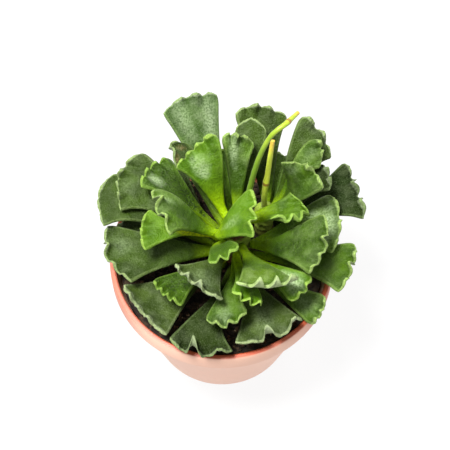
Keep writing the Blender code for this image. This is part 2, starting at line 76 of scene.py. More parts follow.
def linear(colour: Colour) -> tuple[float, ...]:
    """Turn a colour as a screen shows it into linear light, with full alpha."""
    parts = [value / 255 for value in colour]
    return (*(p / 12.92 if p <= 0.04045 else ((p + 0.055) / 1.055) ** 2.4 for p in parts), 1.0)


def math_method(operation: str, reflected: bool = False) -> Callable[[Wire, Feed], Wire]:
    """Make the method of an operator.

    Args:
        operation: The operation of the Math node that it adds.
        reflected: True if the wire is the second value of the two.

    Returns:
        The method.
    """
    def method(wire: Wire, other: Feed) -> Wire:
        """Add the Math node on both values."""
        values = (other, wire) if reflected else (wire, other)
        return wire.bench.node("ShaderNodeMath", {"operation": operation}, dict(enumerate(values)))
    return method


@dataclass(frozen=True)
class Wire:
    """A shader value in a Python expression; each sum or product adds its Math node."""

    bench: MaterialBench
    output: bpy.types.NodeSocket | None

    __add__ = math_method("ADD")
    __radd__ = math_method("ADD", reflected=True)
    __sub__ = math_method("SUBTRACT")
    __rsub__ = math_method("SUBTRACT", reflected=True)
    __mul__ = math_method("MULTIPLY")
    __rmul__ = math_method("MULTIPLY", reflected=True)
    __truediv__ = math_method("DIVIDE")
    __pow__ = math_method("POWER")


class MaterialBench:
    """A new material and the nodes that are laid out for it."""

    def __init__(self, name: str) -> None:
        """Start an empty material of this name."""
        self.material = bpy.data.materials.new(name)
        self.material.use_nodes = True
        self.tree = self.material.node_tree
        self.tree.nodes.clear()

    def node(self, kind: str, settings: Mapping[str, Any] | None = None,
             sockets: Mapping[str | int, Feed] | None = None, result: int = 0) -> Wire:
        """Add a node.

        Args:
            kind: The node's type.
            settings: Its settings, set first.
            sockets: Values or wires for its inputs, by name or number.
            result: The number of the output that is returned.

        Returns:
            The wire of the chosen output, if the node has one.
        """
        made = self.tree.nodes.new(kind)
        for name, value in (settings or {}).items():
            setattr(made, name, value)
        for name, value in (sockets or {}).items():
            if isinstance(value, Wire):
                self.tree.links.new(value.output, made.inputs[name])
            else:
                made.inputs[name].default_value = value
        return Wire(self, made.outputs[result] if made.outputs else None)

    def mix(self, share: Feed, first: Feed, second: Feed) -> Wire:
        """Mix two colours.

        Args:
            share: How much of the second colour is taken.
            first: The first colour, as numbers or a wire.
            second: The second colour.

        Returns:
            The mixed colour.
        """
        first, second = (c if isinstance(c, Wire) else linear(c) for c in (first, second))
        return self.node("ShaderNodeMix", {"data_type": "RGBA"}, {0: share, 6: first, 7: second}, 2)

    def ease(self, value: Feed, none: float, full: float) -> Wire:
        """Ease from 0 at one value to 1 at another, which may be the lower one."""
        return self.node("ShaderNodeMapRange", {"interpolation_type": "SMOOTHSTEP"},
                         {"Value": value, "From Min": none, "From Max": full})

    def position(self) -> Wire:
        """Give the place on the piece, in metres."""
        return self.node("ShaderNodeTexCoord", result=3)

    def grain(self, size: float, detail: float = 2.0) -> Wire:
        """Add noise over the place on the piece.

        Args:
            size: The size of its lumps, in millimetres.
            detail: How many finer layers it has.

        Returns:
            The noise, about 0 to 1.
        """
        return self.node("ShaderNodeTexNoise", None,
                         {"Vector": self.position(), "Scale": 1 / (size * MM), "Detail": detail})

    def split(self, vector: Wire) -> tuple[Wire, ...]:
        """Split a vector into its three numbers."""
        outputs = self.node("ShaderNodeSeparateXYZ", None, {0: vector}).output.node.outputs
        return tuple(Wire(self, output) for output in outputs)

    def marks(self, attribute: str) -> tuple[Wire, ...]:
        """Read the three numbers that a mesh attribute holds."""
        return self.split(self.node("ShaderNodeAttribute", {"attribute_name": attribute}, result=1))

    def bump(self, height: Feed, depth: float) -> Wire:
        """Turn a height from 0 to 1 into bumps of a depth in millimetres."""
        return self.node("ShaderNodeBump", None,
                         {"Height": height, "Distance": depth * MM, "Strength": 1.0})

    def finished(self, **sockets: Feed) -> Material:
        """Close the material with its surface shader.

        Args:
            sockets: Values or wires for the shader's inputs, with _ for a space in their names.

        Returns:
            The material.
        """
        feeds = {name.replace("_", " "): value for name, value in sockets.items()}
        surface = self.node("ShaderNodeBsdfPrincipled", None, feeds)
        self.node("ShaderNodeOutputMaterial", None, {"Surface": surface})
        return self.material


@dataclass(frozen=True)
class LeafColours:
    """The colours of one kind of leaf, how far its base colour and its bloom with painted sheen go, and its
    gloss.

    Band is how wide the felted band along its margin is, in millimetres.
    """

    blade: Colour
    shadow: Colour
    base: Colour
    margin: Colour
    underside: Colour
    base_end: float
    bloom_and_sheen: float
    roughness: float
    gloss: float
    band: float


class Shade(Enum):
    """How old and how green a leaf is."""

    LIME = LeafColours((84, 122, 10), (64, 102, 3), (154, 190, 0), (158, 192, 84), (134, 162, 66),
                       0.62, 0.12, 0.36, 0.36, 0.1)
    BRIGHT = LeafColours((73, 107, 6), (48, 78, 2), (146, 182, 0), (144, 178, 76), (122, 152, 66),
                         0.60, 0.12, 0.36, 0.34, 0.1)
    MEADOW = LeafColours((72, 104, 12), (48, 76, 5), (134, 170, 2), (156, 184, 96), (148, 168, 110),
                         0.40, 0.18, 0.38, 0.32, 0.5)
    DEEP = LeafColours((54, 76, 13), (38, 56, 7), (110, 140, 4), (144, 166, 98), (154, 168, 128),
                       0.30, 0.12, 0.40, 0.24, 0.5)
    # DARK's near-black base is painted shade on petioles deep inside the plant.
    DARK = LeafColours((34, 49, 8), (22, 34, 4), (44, 60, 4), (128, 150, 90), (148, 162, 122),
                       0.30, 0.08, 0.46, 0.11, 1.0)
    SAGE = LeafColours((62, 80, 26), (44, 60, 16), (116, 142, 12), (158, 174, 120), (156, 170, 130),
                       0.32, 0.14, 0.46, 0.16, 1.3)
    PALE = LeafColours((58, 86, 27), (42, 68, 17), (52, 76, 12), (138, 164, 96), (166, 178, 144),
                       0.60, 0.20, 0.44, 0.22, 0.5)
    FELTED = LeafColours((84, 112, 22), (60, 88, 11), (134, 168, 4), (166, 190, 116), (168, 186, 132),
                         0.40, 0.24, 0.42, 0.24, 1.8)


class Tint(Enum):
    """A patch's colour: a painted highlight, painted shade, painted light shining through, dry tissue."""

    GLOW = (200, 222, 172)
    PAINTED_SHADE = (24, 42, 6)
    SHEEN = (226, 236, 16)
    SCORCH = (114, 94, 60)


@dataclass(frozen=True)
class Patch:
    """A soft oval patch on a leaf's upper face, by share of its length and place across it."""

    tint: Tint
    share: float
    across: float
    half_length: float
    half_width: float
    strength: float


@dataclass(frozen=True)
class LeafFinish:
    """Thick living leaf: short hairs with a pale bloom and painted sheen, a pale rim and a felted underside.

    Sizes and depths are in millimetres; the rest is how strongly each of its marks shows.
    """

    name: str
    shade: Shade
    patches: tuple[Patch, ...]
    cloud_size: float = 8.0
    blot_size: float = 5.0
    speckle_size: float = 0.75
    hair_size: float = 0.3
    bump_depth: float = 0.5
    hollow_shading: float = 0.4
    felt_band: float = 0.6
    rim: float = 0.7
    side_rim: float = 0.25
    dark_hairs: float = 0.36
    light_hairs: float = 0.2
    felt_speckle: float = 0.3

    def material(self) -> Material:
        """Make the material of one leaf.

        Returns:
            The material.
        """
        tones = self.shade.value
        bench = MaterialBench(self.name)
        from_margin, from_side, share = bench.marks("leaf_edges")
        wave, across, side = bench.marks("leaf_waves")
        cloud = bench.grain(self.cloud_size)
        blot = bench.grain(self.blot_size, 1.0)
        speckle = bench.grain(self.speckle_size, 4.0)
        hairs = bench.grain(self.hair_size)

        # Bright at the base, then mottled, with painted shade in the hollows behind the lobes.
        blade = bench.mix(bench.ease(cloud, 0.40, 0.60), tones.shadow, tones.blade)
        behind = bench.ease(from_margin, 0.8, 2.5) * bench.ease(from_margin, 8.0, 3.0)
        hollow_shade = bench.ease(wave, 0.2, -0.9) * behind * self.hollow_shading
        blade = bench.mix(hollow_shade, blade, tones.shadow)
        at_base = bench.ease(share + (cloud - 0.5) * 0.25, tones.base_end, 0.08)
        blade = bench.mix(at_base, blade, tones.base)

        # Painted highlights, painted shade, painted light shining through and dry spots in patches, with
        # ragged edges.
        for oval in self.patches:
            along = (share - oval.share) / oval.half_length
            aside = (across - oval.across) / oval.half_width
            away = (along * along + aside * aside) ** 0.5 + (blot - 0.5) * 1.2
            inside = bench.ease(away, 1.2, 0.1) * (0.6 + bench.ease(speckle, 0.36, 0.64) * 0.6)
            blade = bench.mix(inside * oval.strength, blade, oval.tint.value)

        # A pale bloom in blots that is partly painted sheen, felt along the margin, wider on the crests, and
        # pale rims.
        bloom_sheen_blots = bench.ease(share, 0.4, 0.7) * bench.ease(blot + (speckle - 0.5) * 0.3, 0.40, 0.75)
        blade = bench.mix(bloom_sheen_blots * tones.bloom_and_sheen, blade, tones.underside)
        reach = (0.4 + bench.ease(wave, -0.9, 0.8) * 0.9) * tones.band + (speckle - 0.5) * 0.5
        banded = bench.ease(reach - from_margin, -0.5, 0.4) * self.felt_band
        blade = bench.mix(banded, blade, tones.underside)
        side_rim = bench.ease(from_side, 0.3, 0.02) * bench.ease(share, 0.4, 0.8) * self.side_rim
        blade = bench.mix(side_rim, blade, tones.margin)
        rim = bench.ease(from_margin + (speckle - 0.5) * 0.2, 0.4, 0.0) * self.rim
        blade = bench.mix(rim, blade, tones.margin)

        # Fine dark and light hairs, and felt below.
        blade = bench.mix(bench.ease(speckle, 0.56, 0.34) * self.dark_hairs, blade, tones.shadow)
        lit = bench.ease(hairs, 0.5, 0.72) * bench.ease(share, 0.3, 0.6) * self.light_hairs
        blade = bench.mix(lit, blade, tones.underside)
        felt = bench.mix(speckle * self.felt_speckle, tones.underside, BLACK)
        below = bench.ease(side, -0.2, -0.9)
        colour = bench.mix(below * bench.ease(share, 0.2, 0.7), blade, felt)
        roughness = tones.roughness + (speckle - 0.5) * 0.25 + below * 0.25 + rim * 0.1
        height = hairs * 0.4 + speckle * 0.85 + blot * 1.9
        return bench.finished(Base_Color=colour, Roughness=roughness,
                              Normal=bench.bump(height, self.bump_depth),
                              Specular_IOR_Level=tones.gloss, Specular_Tint=(0.78, 1.0, 0.5, 1.0),
                              Sheen_Weight=0.02, Sheen_Roughness=0.4,
                              Sheen_Tint=(0.88, 0.94, 0.82, 1.0))


@dataclass(frozen=True)
class PotFinish:
    """Thin moulded plastic, terracotta on the lip and round the back, with painted light making it pale pink
    in front.
    """

    name: str = "moulded_terracotta_plastic"
    lip: Colour = (196, 84, 50)
    wall_terracotta: Colour = (204, 112, 82)
    painted_front_light: Colour = (252, 200, 174)
    worn: Colour = (236, 190, 170)
    dust: Colour = (214, 196, 180)
    lip_foot: float = 54.0
    lip_inside: float = 41.8
    lip_outside: float = 42.45
    cloud_size: float = 22.0
    dust_size: float = 3.0
    grain_size: float = 0.8

    def material(self) -> Material:
        """Make the material.

        Returns:
            The material.
        """
        bench = MaterialBench(self.name)
        x, y, height = bench.split(bench.position())
        radius = (x * x + y * y) ** 0.5
        cloud = bench.grain(self.cloud_size, 3.0)
        fine = bench.grain(self.grain_size, 3.0)
        dust = bench.grain(self.dust_size, 5.0)
        on_lip = bench.ease(height, self.lip_foot * MM, (self.lip_foot + 0.5) * MM)
        on_top = bench.ease(radius, self.lip_outside * MM, self.lip_inside * MM)
        # Painted light: the wall and the lip's outside turn pale pink where they face the front.
        facing = y * -1.0 / radius
        front_light_share = bench.ease(facing, -0.2, 0.35) * (1.0 - on_lip) + bench.ease(facing, 0.42, 0.85) * on_lip
        colour = bench.mix(on_top * on_lip, bench.mix(front_light_share, self.wall_terracotta, self.painted_front_light), self.lip)
        colour = bench.mix(bench.ease(cloud, 0.35, 0.75) * 0.25, colour, self.worn)
        colour = bench.mix(bench.ease(dust, 0.62, 0.8) * 0.3, colour, self.dust)
        roughness = 0.42 + (fine - 0.5) * 0.12 + cloud * 0.08
        return bench.finished(Base_Color=colour, Roughness=roughness, Normal=bench.bump(fine, 0.03))


@dataclass(frozen=True)
class SoilFinish:
    """Moist peat soil: near black, with brown fibres."""

    name: str
    dark: Colour
    light: Colour
    lump_size: float
    fibre_size: float = 0.4

    def material(self) -> Material:
        """Make the material.

        Returns:
            The material.
        """
        bench = MaterialBench(self.name)
        lumps = bench.grain(self.lump_size, 5.0)
        fine = bench.grain(self.fibre_size, 3.0)
        colour = bench.mix(bench.ease(lumps, 0.45, 0.75), self.dark, self.light)
        colour = bench.mix(bench.ease(fine, 0.6, 0.8) * 0.4, colour, self.light)
        return bench.finished(Base_Color=colour, Roughness=0.86 + (fine - 0.5) * 0.2,
                              Normal=bench.bump(lumps + fine * 0.4, 0.5))


@dataclass(frozen=True)
class BarkFinish:
    """Rough reddish brown bark with greener growth near the stem's top, which may be bare."""

    name: str
    top: float
    bare_top: float
    bark: Colour = (112, 66, 40)
    crevice: Colour = (52, 28, 18)
    growth: Colour = (134, 160, 46)
    growth_from: float = 24.0
    growth_full: float = 8.0
    growth_share: float = 0.9
    crust_size: float = 1.6
    fibre_size: float = 0.5

    def material(self) -> Material:
        """Make the material.

        Returns:
            The material.
        """
        bench = MaterialBench(self.name)
        rough = bench.grain(self.crust_size, 5.0)
        fine = bench.grain(self.fibre_size, 3.0)
        colour = bench.mix(bench.ease(rough, 0.38, 0.62), self.crevice, self.bark)
        ragged = bench.split(bench.position())[2] + (rough - 0.5) * 6 * MM
        low, high = (self.top - self.growth_from) * MM, (self.top - self.growth_full) * MM
        bare = (self.top - self.bare_top) * MM
        green = bench.ease(ragged, low, high) * bench.ease(ragged, bare + 1.5 * MM, bare)
        colour = bench.mix(green * self.growth_share, colour, self.growth)
        return bench.finished(Base_Color=colour, Roughness=0.8 + (fine - 0.5) * 0.2,
                              Normal=bench.bump(rough + fine * 0.4, 0.4))


@dataclass(frozen=True)
class StalkFinish:
    """Smooth yellow-green flower stalk with brown nodes and an orange-yellow tip."""

    name: str
    yellowness: float
    green: Colour = (112, 150, 8)
    yellow: Colour = (206, 220, 64)
    brown: Colour = (146, 118, 32)
    tip: Colour = (216, 166, 64)
    cloud_size: float = 4.0
    grain_size: float = 0.6

    def material(self) -> Material:
        """Make the material.

        Returns:
            The material.
        """
        bench = MaterialBench(self.name)
        share, scar, end = bench.marks("stalk_marks")
        cloud = bench.grain(self.cloud_size, 3.0)
        fine = bench.grain(self.grain_size, 3.0)
        turned = bench.ease(share, 0.35, 1.0) * 0.5 + (cloud - 0.5) * 0.5 + self.yellowness
        colour = bench.mix(bench.ease(turned, 0.0, 1.0), self.green, self.yellow)
        colour = bench.mix(bench.ease(end, 0.2, 1.0) * 0.8, colour, self.tip)
        colour = bench.mix(bench.ease(scar + (fine - 0.5) * 0.6, 0.35, 0.8), colour, self.brown)
        return bench.finished(Base_Color=colour, Roughness=0.42 + (fine - 0.5) * 0.2,
                              Normal=bench.bump(fine + cloud, 0.12), Sheen_Weight=0.1)


def deselect_everything() -> None:
    """Deselect every object, because operators act on all that is selected."""
    if bpy.context.mode != "OBJECT":
        bpy.ops.object.mode_set(mode="OBJECT")
    bpy.ops.object.select_all(action="DESELECT")


def edit_all() -> None:
    """Go to edit mode and select the whole mesh of the active object."""
    bpy.ops.object.mode_set(mode="EDIT")
    bpy.ops.mesh.select_all(action="SELECT")


def settle(name: str, angle: float = 40.0) -> Piece:
    """Close the work on the active object.

    Args:
        name: The piece's name.
        angle: Edges up to this many degrees are shaded smooth.

    Returns:
        The object, its faces outwards, at the origin and with its place in its mesh.
    """
    edit_all()
    bpy.ops.mesh.normals_make_consistent(inside=False)
    bpy.ops.object.mode_set(mode="OBJECT")
    piece = bpy.context.active_object
    piece.name = piece.data.name = name
    bpy.ops.object.transform_apply(location=True, rotation=True, scale=True)
    bpy.ops.object.shade_smooth_by_angle(angle=math.radians(angle))
    return piece


def discard(piece: Piece) -> None:
    """Remove a helper object."""
    bpy.data.objects.remove(piece, do_unlink=True)


def raised_shell(name: str, outline: Sequence[tuple[float, float]], sides: int) -> Piece:
    """Raise a round closed shell from its first ring, ring after ring.

    Args:
        name: The piece's name.
        outline: The radius and height of each ring, in millimetres.
        sides: How many sides a ring has.

    Returns:
        The shell, still to be finished.
    """
    deselect_everything()
    radius, height = outline[0]
    bpy.ops.mesh.primitive_circle_add(vertices=sides, radius=radius * MM, fill_type="NGON",
                                      location=(0.0, 0.0, height * MM))
    edit_all()
    for (radius, height), (next_radius, next_height) in pairwise(outline):
        rise = (0.0, 0.0, (next_height - height) * MM)
        bpy.ops.mesh.extrude_region_move(TRANSFORM_OT_translate={"value": rise})
        growth = next_radius / radius
        bpy.ops.transform.resize(value=(growth, growth, 1.0), center_override=(0.0, 0.0, next_height * MM))
    return settle(name)


def shift_points(piece: Piece, points: Array) -> None:
    """Move a mesh's points to the given places, in metres."""
    piece.data.vertices.foreach_set("co", np.ascontiguousarray(points, dtype=np.float32).ravel())
    piece.data.update()


def points_of(piece: Piece) -> Array:
    """Read a mesh's points, in metres."""
    return np.array([vertex.co[:] for vertex in piece.data.vertices])


def write_marks(piece: Piece, name: str, values: Sequence[Array]) -> None:
    """Store three numbers for each point of a mesh, for its material."""
    marks = piece.data.attributes.new(name, "FLOAT_VECTOR", "POINT")
    marks.data.foreach_set("vector", np.stack(values, axis=1).astype(np.float32).ravel())


def uneven(points: Array, size: float, seed: float) -> Array:
    """Give smooth noise at each point.

    Args:
        points: The points, in millimetres.
        size: The size of the lumps, in millimetres.
        seed: Shifts the noise.

    Returns:
        The noise, about -1 to 1.
    """
    return np.array([noise.noise(Vector(p / size) + Vector((seed, 0.0, 0.0))) for p in points])


def dress(piece: Piece, material: Material, node: str | None = None) -> None:
    """Give a piece its material and its place in the frame.

    Args:
        piece: The piece.
        material: Its material.
        node: The CAD node that it stands for, if any.
    """
    piece.data.materials.clear()
    piece.data.materials.append(material)
    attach(piece, ROOT_BODY)
    if node:
        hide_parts(node)
    LOG.info("%s: %d points", piece.name, len(piece.data.vertices))


@dataclass(frozen=True)
class Pot:
    """The moulded pot, 85 mm across its lip."""

    height: float = 63.0
    base_radius: float = 28.6
    body_radius: float = 40.5
    lip_radius: float = 42.5
    lip_height: float = 9.0
    wall: float = 1.3
    lip_wall: float = 2.1
    floor: float = 2.0
    sides: int = 144
    drains: int = 5
    drain_sides: int = 32
    drain_radius: float = 3.0
    drain_circle: float = 17.0
    drill: float = 20.0
    shading_angle: float = 35.0

    def wall_radius(self, height: float) -> float:
        """Give the outer radius of the wall at a height."""
        share = height / (self.height - self.lip_height)
        return self.base_radius + (self.body_radius - self.base_radius) * share

    def outline(self) -> list[tuple[float, float]]:
        """List the rings from the underside over the lip to the floor inside.

        Returns:
            The radius and height of each ring.
        """
        lip_foot = self.height - self.lip_height
        inside = self.lip_radius - self.lip_wall
        # The radius and height of each corner, and how far out and up from it its rings lie.
        corners = (
            (self.base_radius, 0.0, ((-3.2, 0.7), (-2.4, 0.0), (-0.7, 0.0), (-0.1, 0.3), (0.3, 1.2))),
            (self.wall_radius(20.0), 20.0, ((0.0, 0.0),)),
            (self.wall_radius(38.0), 38.0, ((0.0, 0.0),)),
            (self.body_radius, lip_foot, ((-0.2, -1.0), (0.3, 0.0))),
            (self.lip_radius, lip_foot, ((-0.6, 0.0), (0.0, 0.5))),
            (self.lip_radius, self.height, ((0.0, -0.9), (-0.35, -0.2), (-0.8, 0.0))),
            (inside, self.height, ((0.5, 0.0), (0.0, -0.5))),
            (inside, lip_foot, ((-0.1, 0.5),)),
            (self.body_radius - self.wall, lip_foot, ((0.0, -0.6),)),
            (self.wall_radius(self.floor) - self.wall, self.floor, ((0.0, 0.6), (-0.8, 0.0))),
        )
        return [(radius + out, height + up) for radius, height, rings in corners for out, up in rings]

    def build(self) -> None:
        """Model the pot, cut its drain holes and dress it."""
        pot = raised_shell("moulded_pot", self.outline(), self.sides)
        for index in range(self.drains):
            angle = math.tau * index / self.drains
            deselect_everything()
            place = Vector((math.cos(angle), math.sin(angle), 0.0)) * self.drain_circle * MM
            bpy.ops.mesh.primitive_cylinder_add(vertices=self.drain_sides, location=place,
                                                radius=self.drain_radius * MM, depth=self.drill * MM)
            drill = bpy.context.active_object
            bpy.context.view_layer.objects.active = pot
            hole = pot.modifiers.new("drain", "BOOLEAN")
            hole.operation = "DIFFERENCE"
            hole.solver = "EXACT"
            hole.object = drill
            bpy.ops.object.modifier_apply(modifier=hole.name)
            discard(drill)
        deselect_everything()
        pot.select_set(True)
        bpy.ops.object.shade_smooth_by_angle(angle=math.radians(self.shading_angle))
        dress(pot, PotFinish().material(), "pot")


@dataclass(frozen=True)
class Lumps:
    """Small loose lumps on the soil: how many, their smallest and largest radius, and their finish."""

    name: str
    count: int
    sizes: tuple[float, float]
    finish: SoilFinish


@dataclass(frozen=True)
class Soil:
    """The soil bed, with loose crumbs and a little pale grit on it."""

    pot: Pot
    top: float = 55.0
    crown: float = 1.5
    shoulder: float = 3.0
    gap: float = 0.3
    clear_edge: float = 1.5
    sides: int = 150
    rings: int = 52
    seed: int = 7
    heap_x: float = 5.5
    heap_y: float = 2.0
    heap_spread: float = 22.4
    peat: SoilFinish = SoilFinish("moist_peat", (30, 22, 15), (84, 65, 44), 2.4)
    loose: tuple[Lumps, ...] = (
        Lumps("soil_crumbs", 900, (0.4, 1.5), SoilFinish("peat_crumbs", (44, 32, 22), (116, 90, 62), 1.6)),
        Lumps("soil_grit", 70, (0.4, 0.9), SoilFinish("pale_grit", (150, 122, 90), (206, 184, 150), 1.0)),
    )

    LUMP_HEIGHT = 0.5
    CRUMB_HEIGHT = 0.55
    CRUMBLES = ((3.1, 0.0, 1.0), (1.3, 5.0, 0.6))
    LUMP_SHAPE = (1.0, 0.8, 0.65)
    LUMP_ROUGHNESS = 0.28
    LUMP_RISE = 0.25

    def surface(self, x: float, y: float) -> float:
        """Give the height of the soil: a low heap, soft lumps and crumbs of two sizes.

        Args:
            x: The place to the right.
            y: The place to the back.

        Returns:
            The height.
        """
        heap = self.crown * math.exp(-(math.hypot(x - self.heap_x, y - self.heap_y) / self.heap_spread) ** 2)
        lumps = math.sin(0.41 * x + 0.7) * math.cos(0.37 * y) + math.sin(0.83 * y + 0.29 * x)
        crumbs = sum(height * noise.noise(Vector((x / size, y / size, layer)))
                     for size, layer, height in self.CRUMBLES)
        return self.top + heap + self.LUMP_HEIGHT * lumps + self.CRUMB_HEIGHT * crumbs

    def build(self) -> None:
        """Model the bed, its crumbs and its grit."""
        foot = self.pot.floor + self.gap
        inside = self.pot.wall + self.gap
        edge = self.pot.wall_radius(self.top - self.shoulder) - inside
        outline = [(self.pot.wall_radius(foot) - inside, foot), (edge, self.top - self.shoulder)]
        outline += [(edge * (1 - ring / self.rings), self.top) for ring in range(self.rings)]
        bed = raised_shell("soil_bed", outline, self.sides)
        points = points_of(bed) / MM
        for point in points:
            if point[2] > self.top - 0.5:
                point[2] = self.surface(point[0], point[1])
        shift_points(bed, points * MM)
        dress(bed, self.peat.material(), "soil")
        chips = random.Random(self.seed)
        for lumps in self.loose:
            piece = self._scatter(lumps, edge - self.clear_edge, chips)
            dress(piece, lumps.finish.material())

    def _scatter(self, lumps: Lumps, reach: float, chips: random.Random) -> Piece:
        """Strew small lumps over the soil.

        Args:
            lumps: The lumps.
            reach: How far from the middle they lie.
            chips: The source of random numbers.

        Returns:
            All the lumps as one object.
        """
        deselect_everything()
        bpy.ops.mesh.primitive_ico_sphere_add(subdivisions=2, radius=1.0)
        lump = bpy.context.active_object
        edit_all()
        bpy.ops.transform.resize(value=self.LUMP_SHAPE)
        bpy.ops.object.mode_set(mode="OBJECT")
        shape = points_of(lump)
        corners = np.array([tuple(face.vertices) for face in lump.data.polygons])
        discard(lump)
        places, faces = [], []
        for index in range(lumps.count):
            radius = chips.uniform(*lumps.sizes)
            angle, far = chips.uniform(0, math.tau), reach * math.sqrt(chips.random())
            x, y = far * math.cos(angle), far * math.sin(angle)
            upward = Vector((chips.uniform(-1, 1), chips.uniform(-1, 1), chips.uniform(0.2, 1)))
            turn = np.array(Vector((0, 0, 1)).rotation_difference(upward).to_matrix())
            rough = 1 + self.LUMP_ROUGHNESS * uneven(shape, 0.8, index * 3.7)
            spun = (shape * rough[:, None]) @ turn.T * radius
            places.append(spun + (x, y, self.surface(x, y) + self.LUMP_RISE * radius))
            faces.append(corners + index * len(shape))
        mesh = bpy.data.meshes.new(lumps.name)
        mesh.from_pydata(np.concatenate(places) * MM, [], np.concatenate(faces).tolist())
        piece = bpy.data.objects.new(lumps.name, mesh)
        bpy.context.scene.collection.objects.link(piece)
        return piece


@dataclass(frozen=True)
class Stem:
    """An upright stem: where it stands, how thick it is and how high it reaches."""

    node: str
    x: float
    y: float
    radius: float
    top: float
    foot: float = 38.0
    sides: int = 72
    ring_step: float = 0.6
    scar_step: float = 4.0
    scar: float = 0.4
    bare_top: float = -2.0

    TOP_ROOM = 1.6
    TOP_RINGS = ((0.93, 1.2), (0.74, 0.5), (0.45, 0.1), (0.15, 0.0))
    BARK = ((0.35, 1.8, 3.0), (0.2, 0.8, 9.0))

    def build(self) -> None:
        """Model the stem with its leaf scars and its rough bark."""
        rings = int((self.top - self.TOP_ROOM - self.foot) / self.ring_step)
        outline = [(self.radius, self.foot + self.ring_step * i) for i in range(rings)]
        outline += [(self.radius * share, self.top - below) for share, below in self.TOP_RINGS]
        stem = raised_shell(f"bark_{self.node}", outline, self.sides)
        points = points_of(stem) / MM
        spiral = points[:, 2] / self.scar_step + np.arctan2(points[:, 1], points[:, 0]) / math.tau
        bulge = self.scar * (np.abs(np.sin(math.pi * spiral)) ** 3 - 0.6)
        bark = sum(height * uneven(points, size, seed) for height, size, seed in self.BARK)
        out = np.hypot(points[:, 0], points[:, 1])
        swell = 1 + (bulge + bark) * np.clip(out / self.radius, 0, 1) / self.radius
        points[:, :2] = points[:, :2] * swell[:, None] + (self.x, self.y)
        shift_points(stem, points * MM)
        finish = BarkFinish(f"bark_of_{self.node}", self.top, self.bare_top)
        dress(stem, finish.material(), self.node)


@dataclass(frozen=True)
class FlowerStalk:
    """A bare flower stalk: a route of points, with its radius, and the scars on it."""

    node: str
    route: tuple[tuple[float, float, float, float], ...]
    scars: tuple[float, ...]
    yellowness: float
    tip_length: float

    SCAR_REACH = 0.8
    SCAR_SWELL = 0.16
    ROUGHNESS = 0.05
    TRACK_STEPS = 400

    def build(self) -> None:
        """Model the stalk along its route and mark its scars and its tip."""
        stalk = self._tube()
        points = points_of(stalk) / MM
        line = np.array([stop[:3] for stop in self.route])
        steps = np.concatenate([[0.0], np.cumsum(np.linalg.norm(np.diff(line, axis=0), axis=1))])
        fine = np.linspace(0.0, steps[-1], self.TRACK_STEPS)
        track = np.stack([np.interp(fine, steps, line[:, i]) for i in range(3)], axis=1)
        nearest = np.argmin(((points[:, None] - track[None]) ** 2).sum(2), axis=1)
        along, axis = fine[nearest], track[nearest]
        scar = np.zeros(len(points))
        for place in self.scars:
            scar = np.maximum(scar, np.exp(-((along - place) / self.SCAR_REACH) ** 2))
        swell = 1 + self.SCAR_SWELL * scar + self.ROUGHNESS * uneven(points, 1.5, 2.0)
        shift_points(stalk, (axis + (points - axis) * swell[:, None]) * MM)
        end = np.clip(1 - (steps[-1] - along) / self.tip_length, 0, 1)
        write_marks(stalk, "stalk_marks", (along / steps[-1], scar, end))
        finish = StalkFinish(f"skin_of_{self.node}", self.yellowness)
        dress(stalk, finish.material(), self.node)

    def _tube(self) -> Piece:
        """Lay a round tube along the route.

        Returns:
            The closed tube, its ends capped.
        """
        deselect_everything()
        bpy.ops.curve.primitive_nurbs_path_add(radius=MM)
        path = bpy.context.active_object
        path.location = (0.0, 0.0, 0.0)
        spline = path.data.splines[0]
        spline.points.add(len(self.route) - len(spline.points))
        for point, (x, y, z, radius) in zip(spline.points, self.route):
            point.co = (x * MM, y * MM, z * MM, 1.0)
            point.radius = radius
        spline.order_u = 3
        spline.resolution_u = 8
        spline.use_endpoint_u = True
        path.data.bevel_depth = MM
        path.data.bevel_resolution = 5
        path.data.use_fill_caps = True
        bpy.ops.object.convert(target="MESH")
        edit_all()
        bpy.ops.mesh.remove_doubles(threshold=0.00001)
        return settle(f"bare_{self.node}", 60.0)


def smooth_step(value: Array) -> Array:
    """Ease from 0 to 1."""
    value = np.clip(value, 0.0, 1.0)
    return value * value * (3.0 - 2.0 * value)


def unit(vector: Array) -> Array:
    """Give the vectors at length 1."""
    return vector / np.linalg.norm(vector, axis=-1, keepdims=True)


@dataclass(frozen=True)
class LeafBlank:
    """The flat slab that every leaf is bent from: 2 x 2 x 2, with cuts in its rim."""

    columns: int
    rows: int
    rim_cuts: int = 3

    def model(self) -> Piece:
        """Model the slab.

        Returns:
            The slab, with its middle at the origin.
        """
        deselect_everything()
        bpy.ops.mesh.primitive_grid_add(x_subdivisions=self.columns, y_subdivisions=self.rows, size=2.0,
                                        location=(0.0, 0.0, -1.0))
        bpy.ops.object.transform_apply(location=True, rotation=True, scale=True)
        edit_all()
        bpy.ops.mesh.extrude_region_move(TRANSFORM_OT_translate={"value": (0.0, 0.0, 2.0)})
        bpy.ops.mesh.select_mode(type="EDGE")
        bpy.ops.mesh.select_all(action="DESELECT")
        edit = bmesh.from_edit_mesh(bpy.context.active_object.data)
        for edge in edit.edges:
            low, high = edge.verts
            edge.select_set(abs(low.co.z - high.co.z) > 1.0)
        bpy.ops.mesh.subdivide(number_cuts=self.rim_cuts)
        return settle("leaf_blank", 180.0)


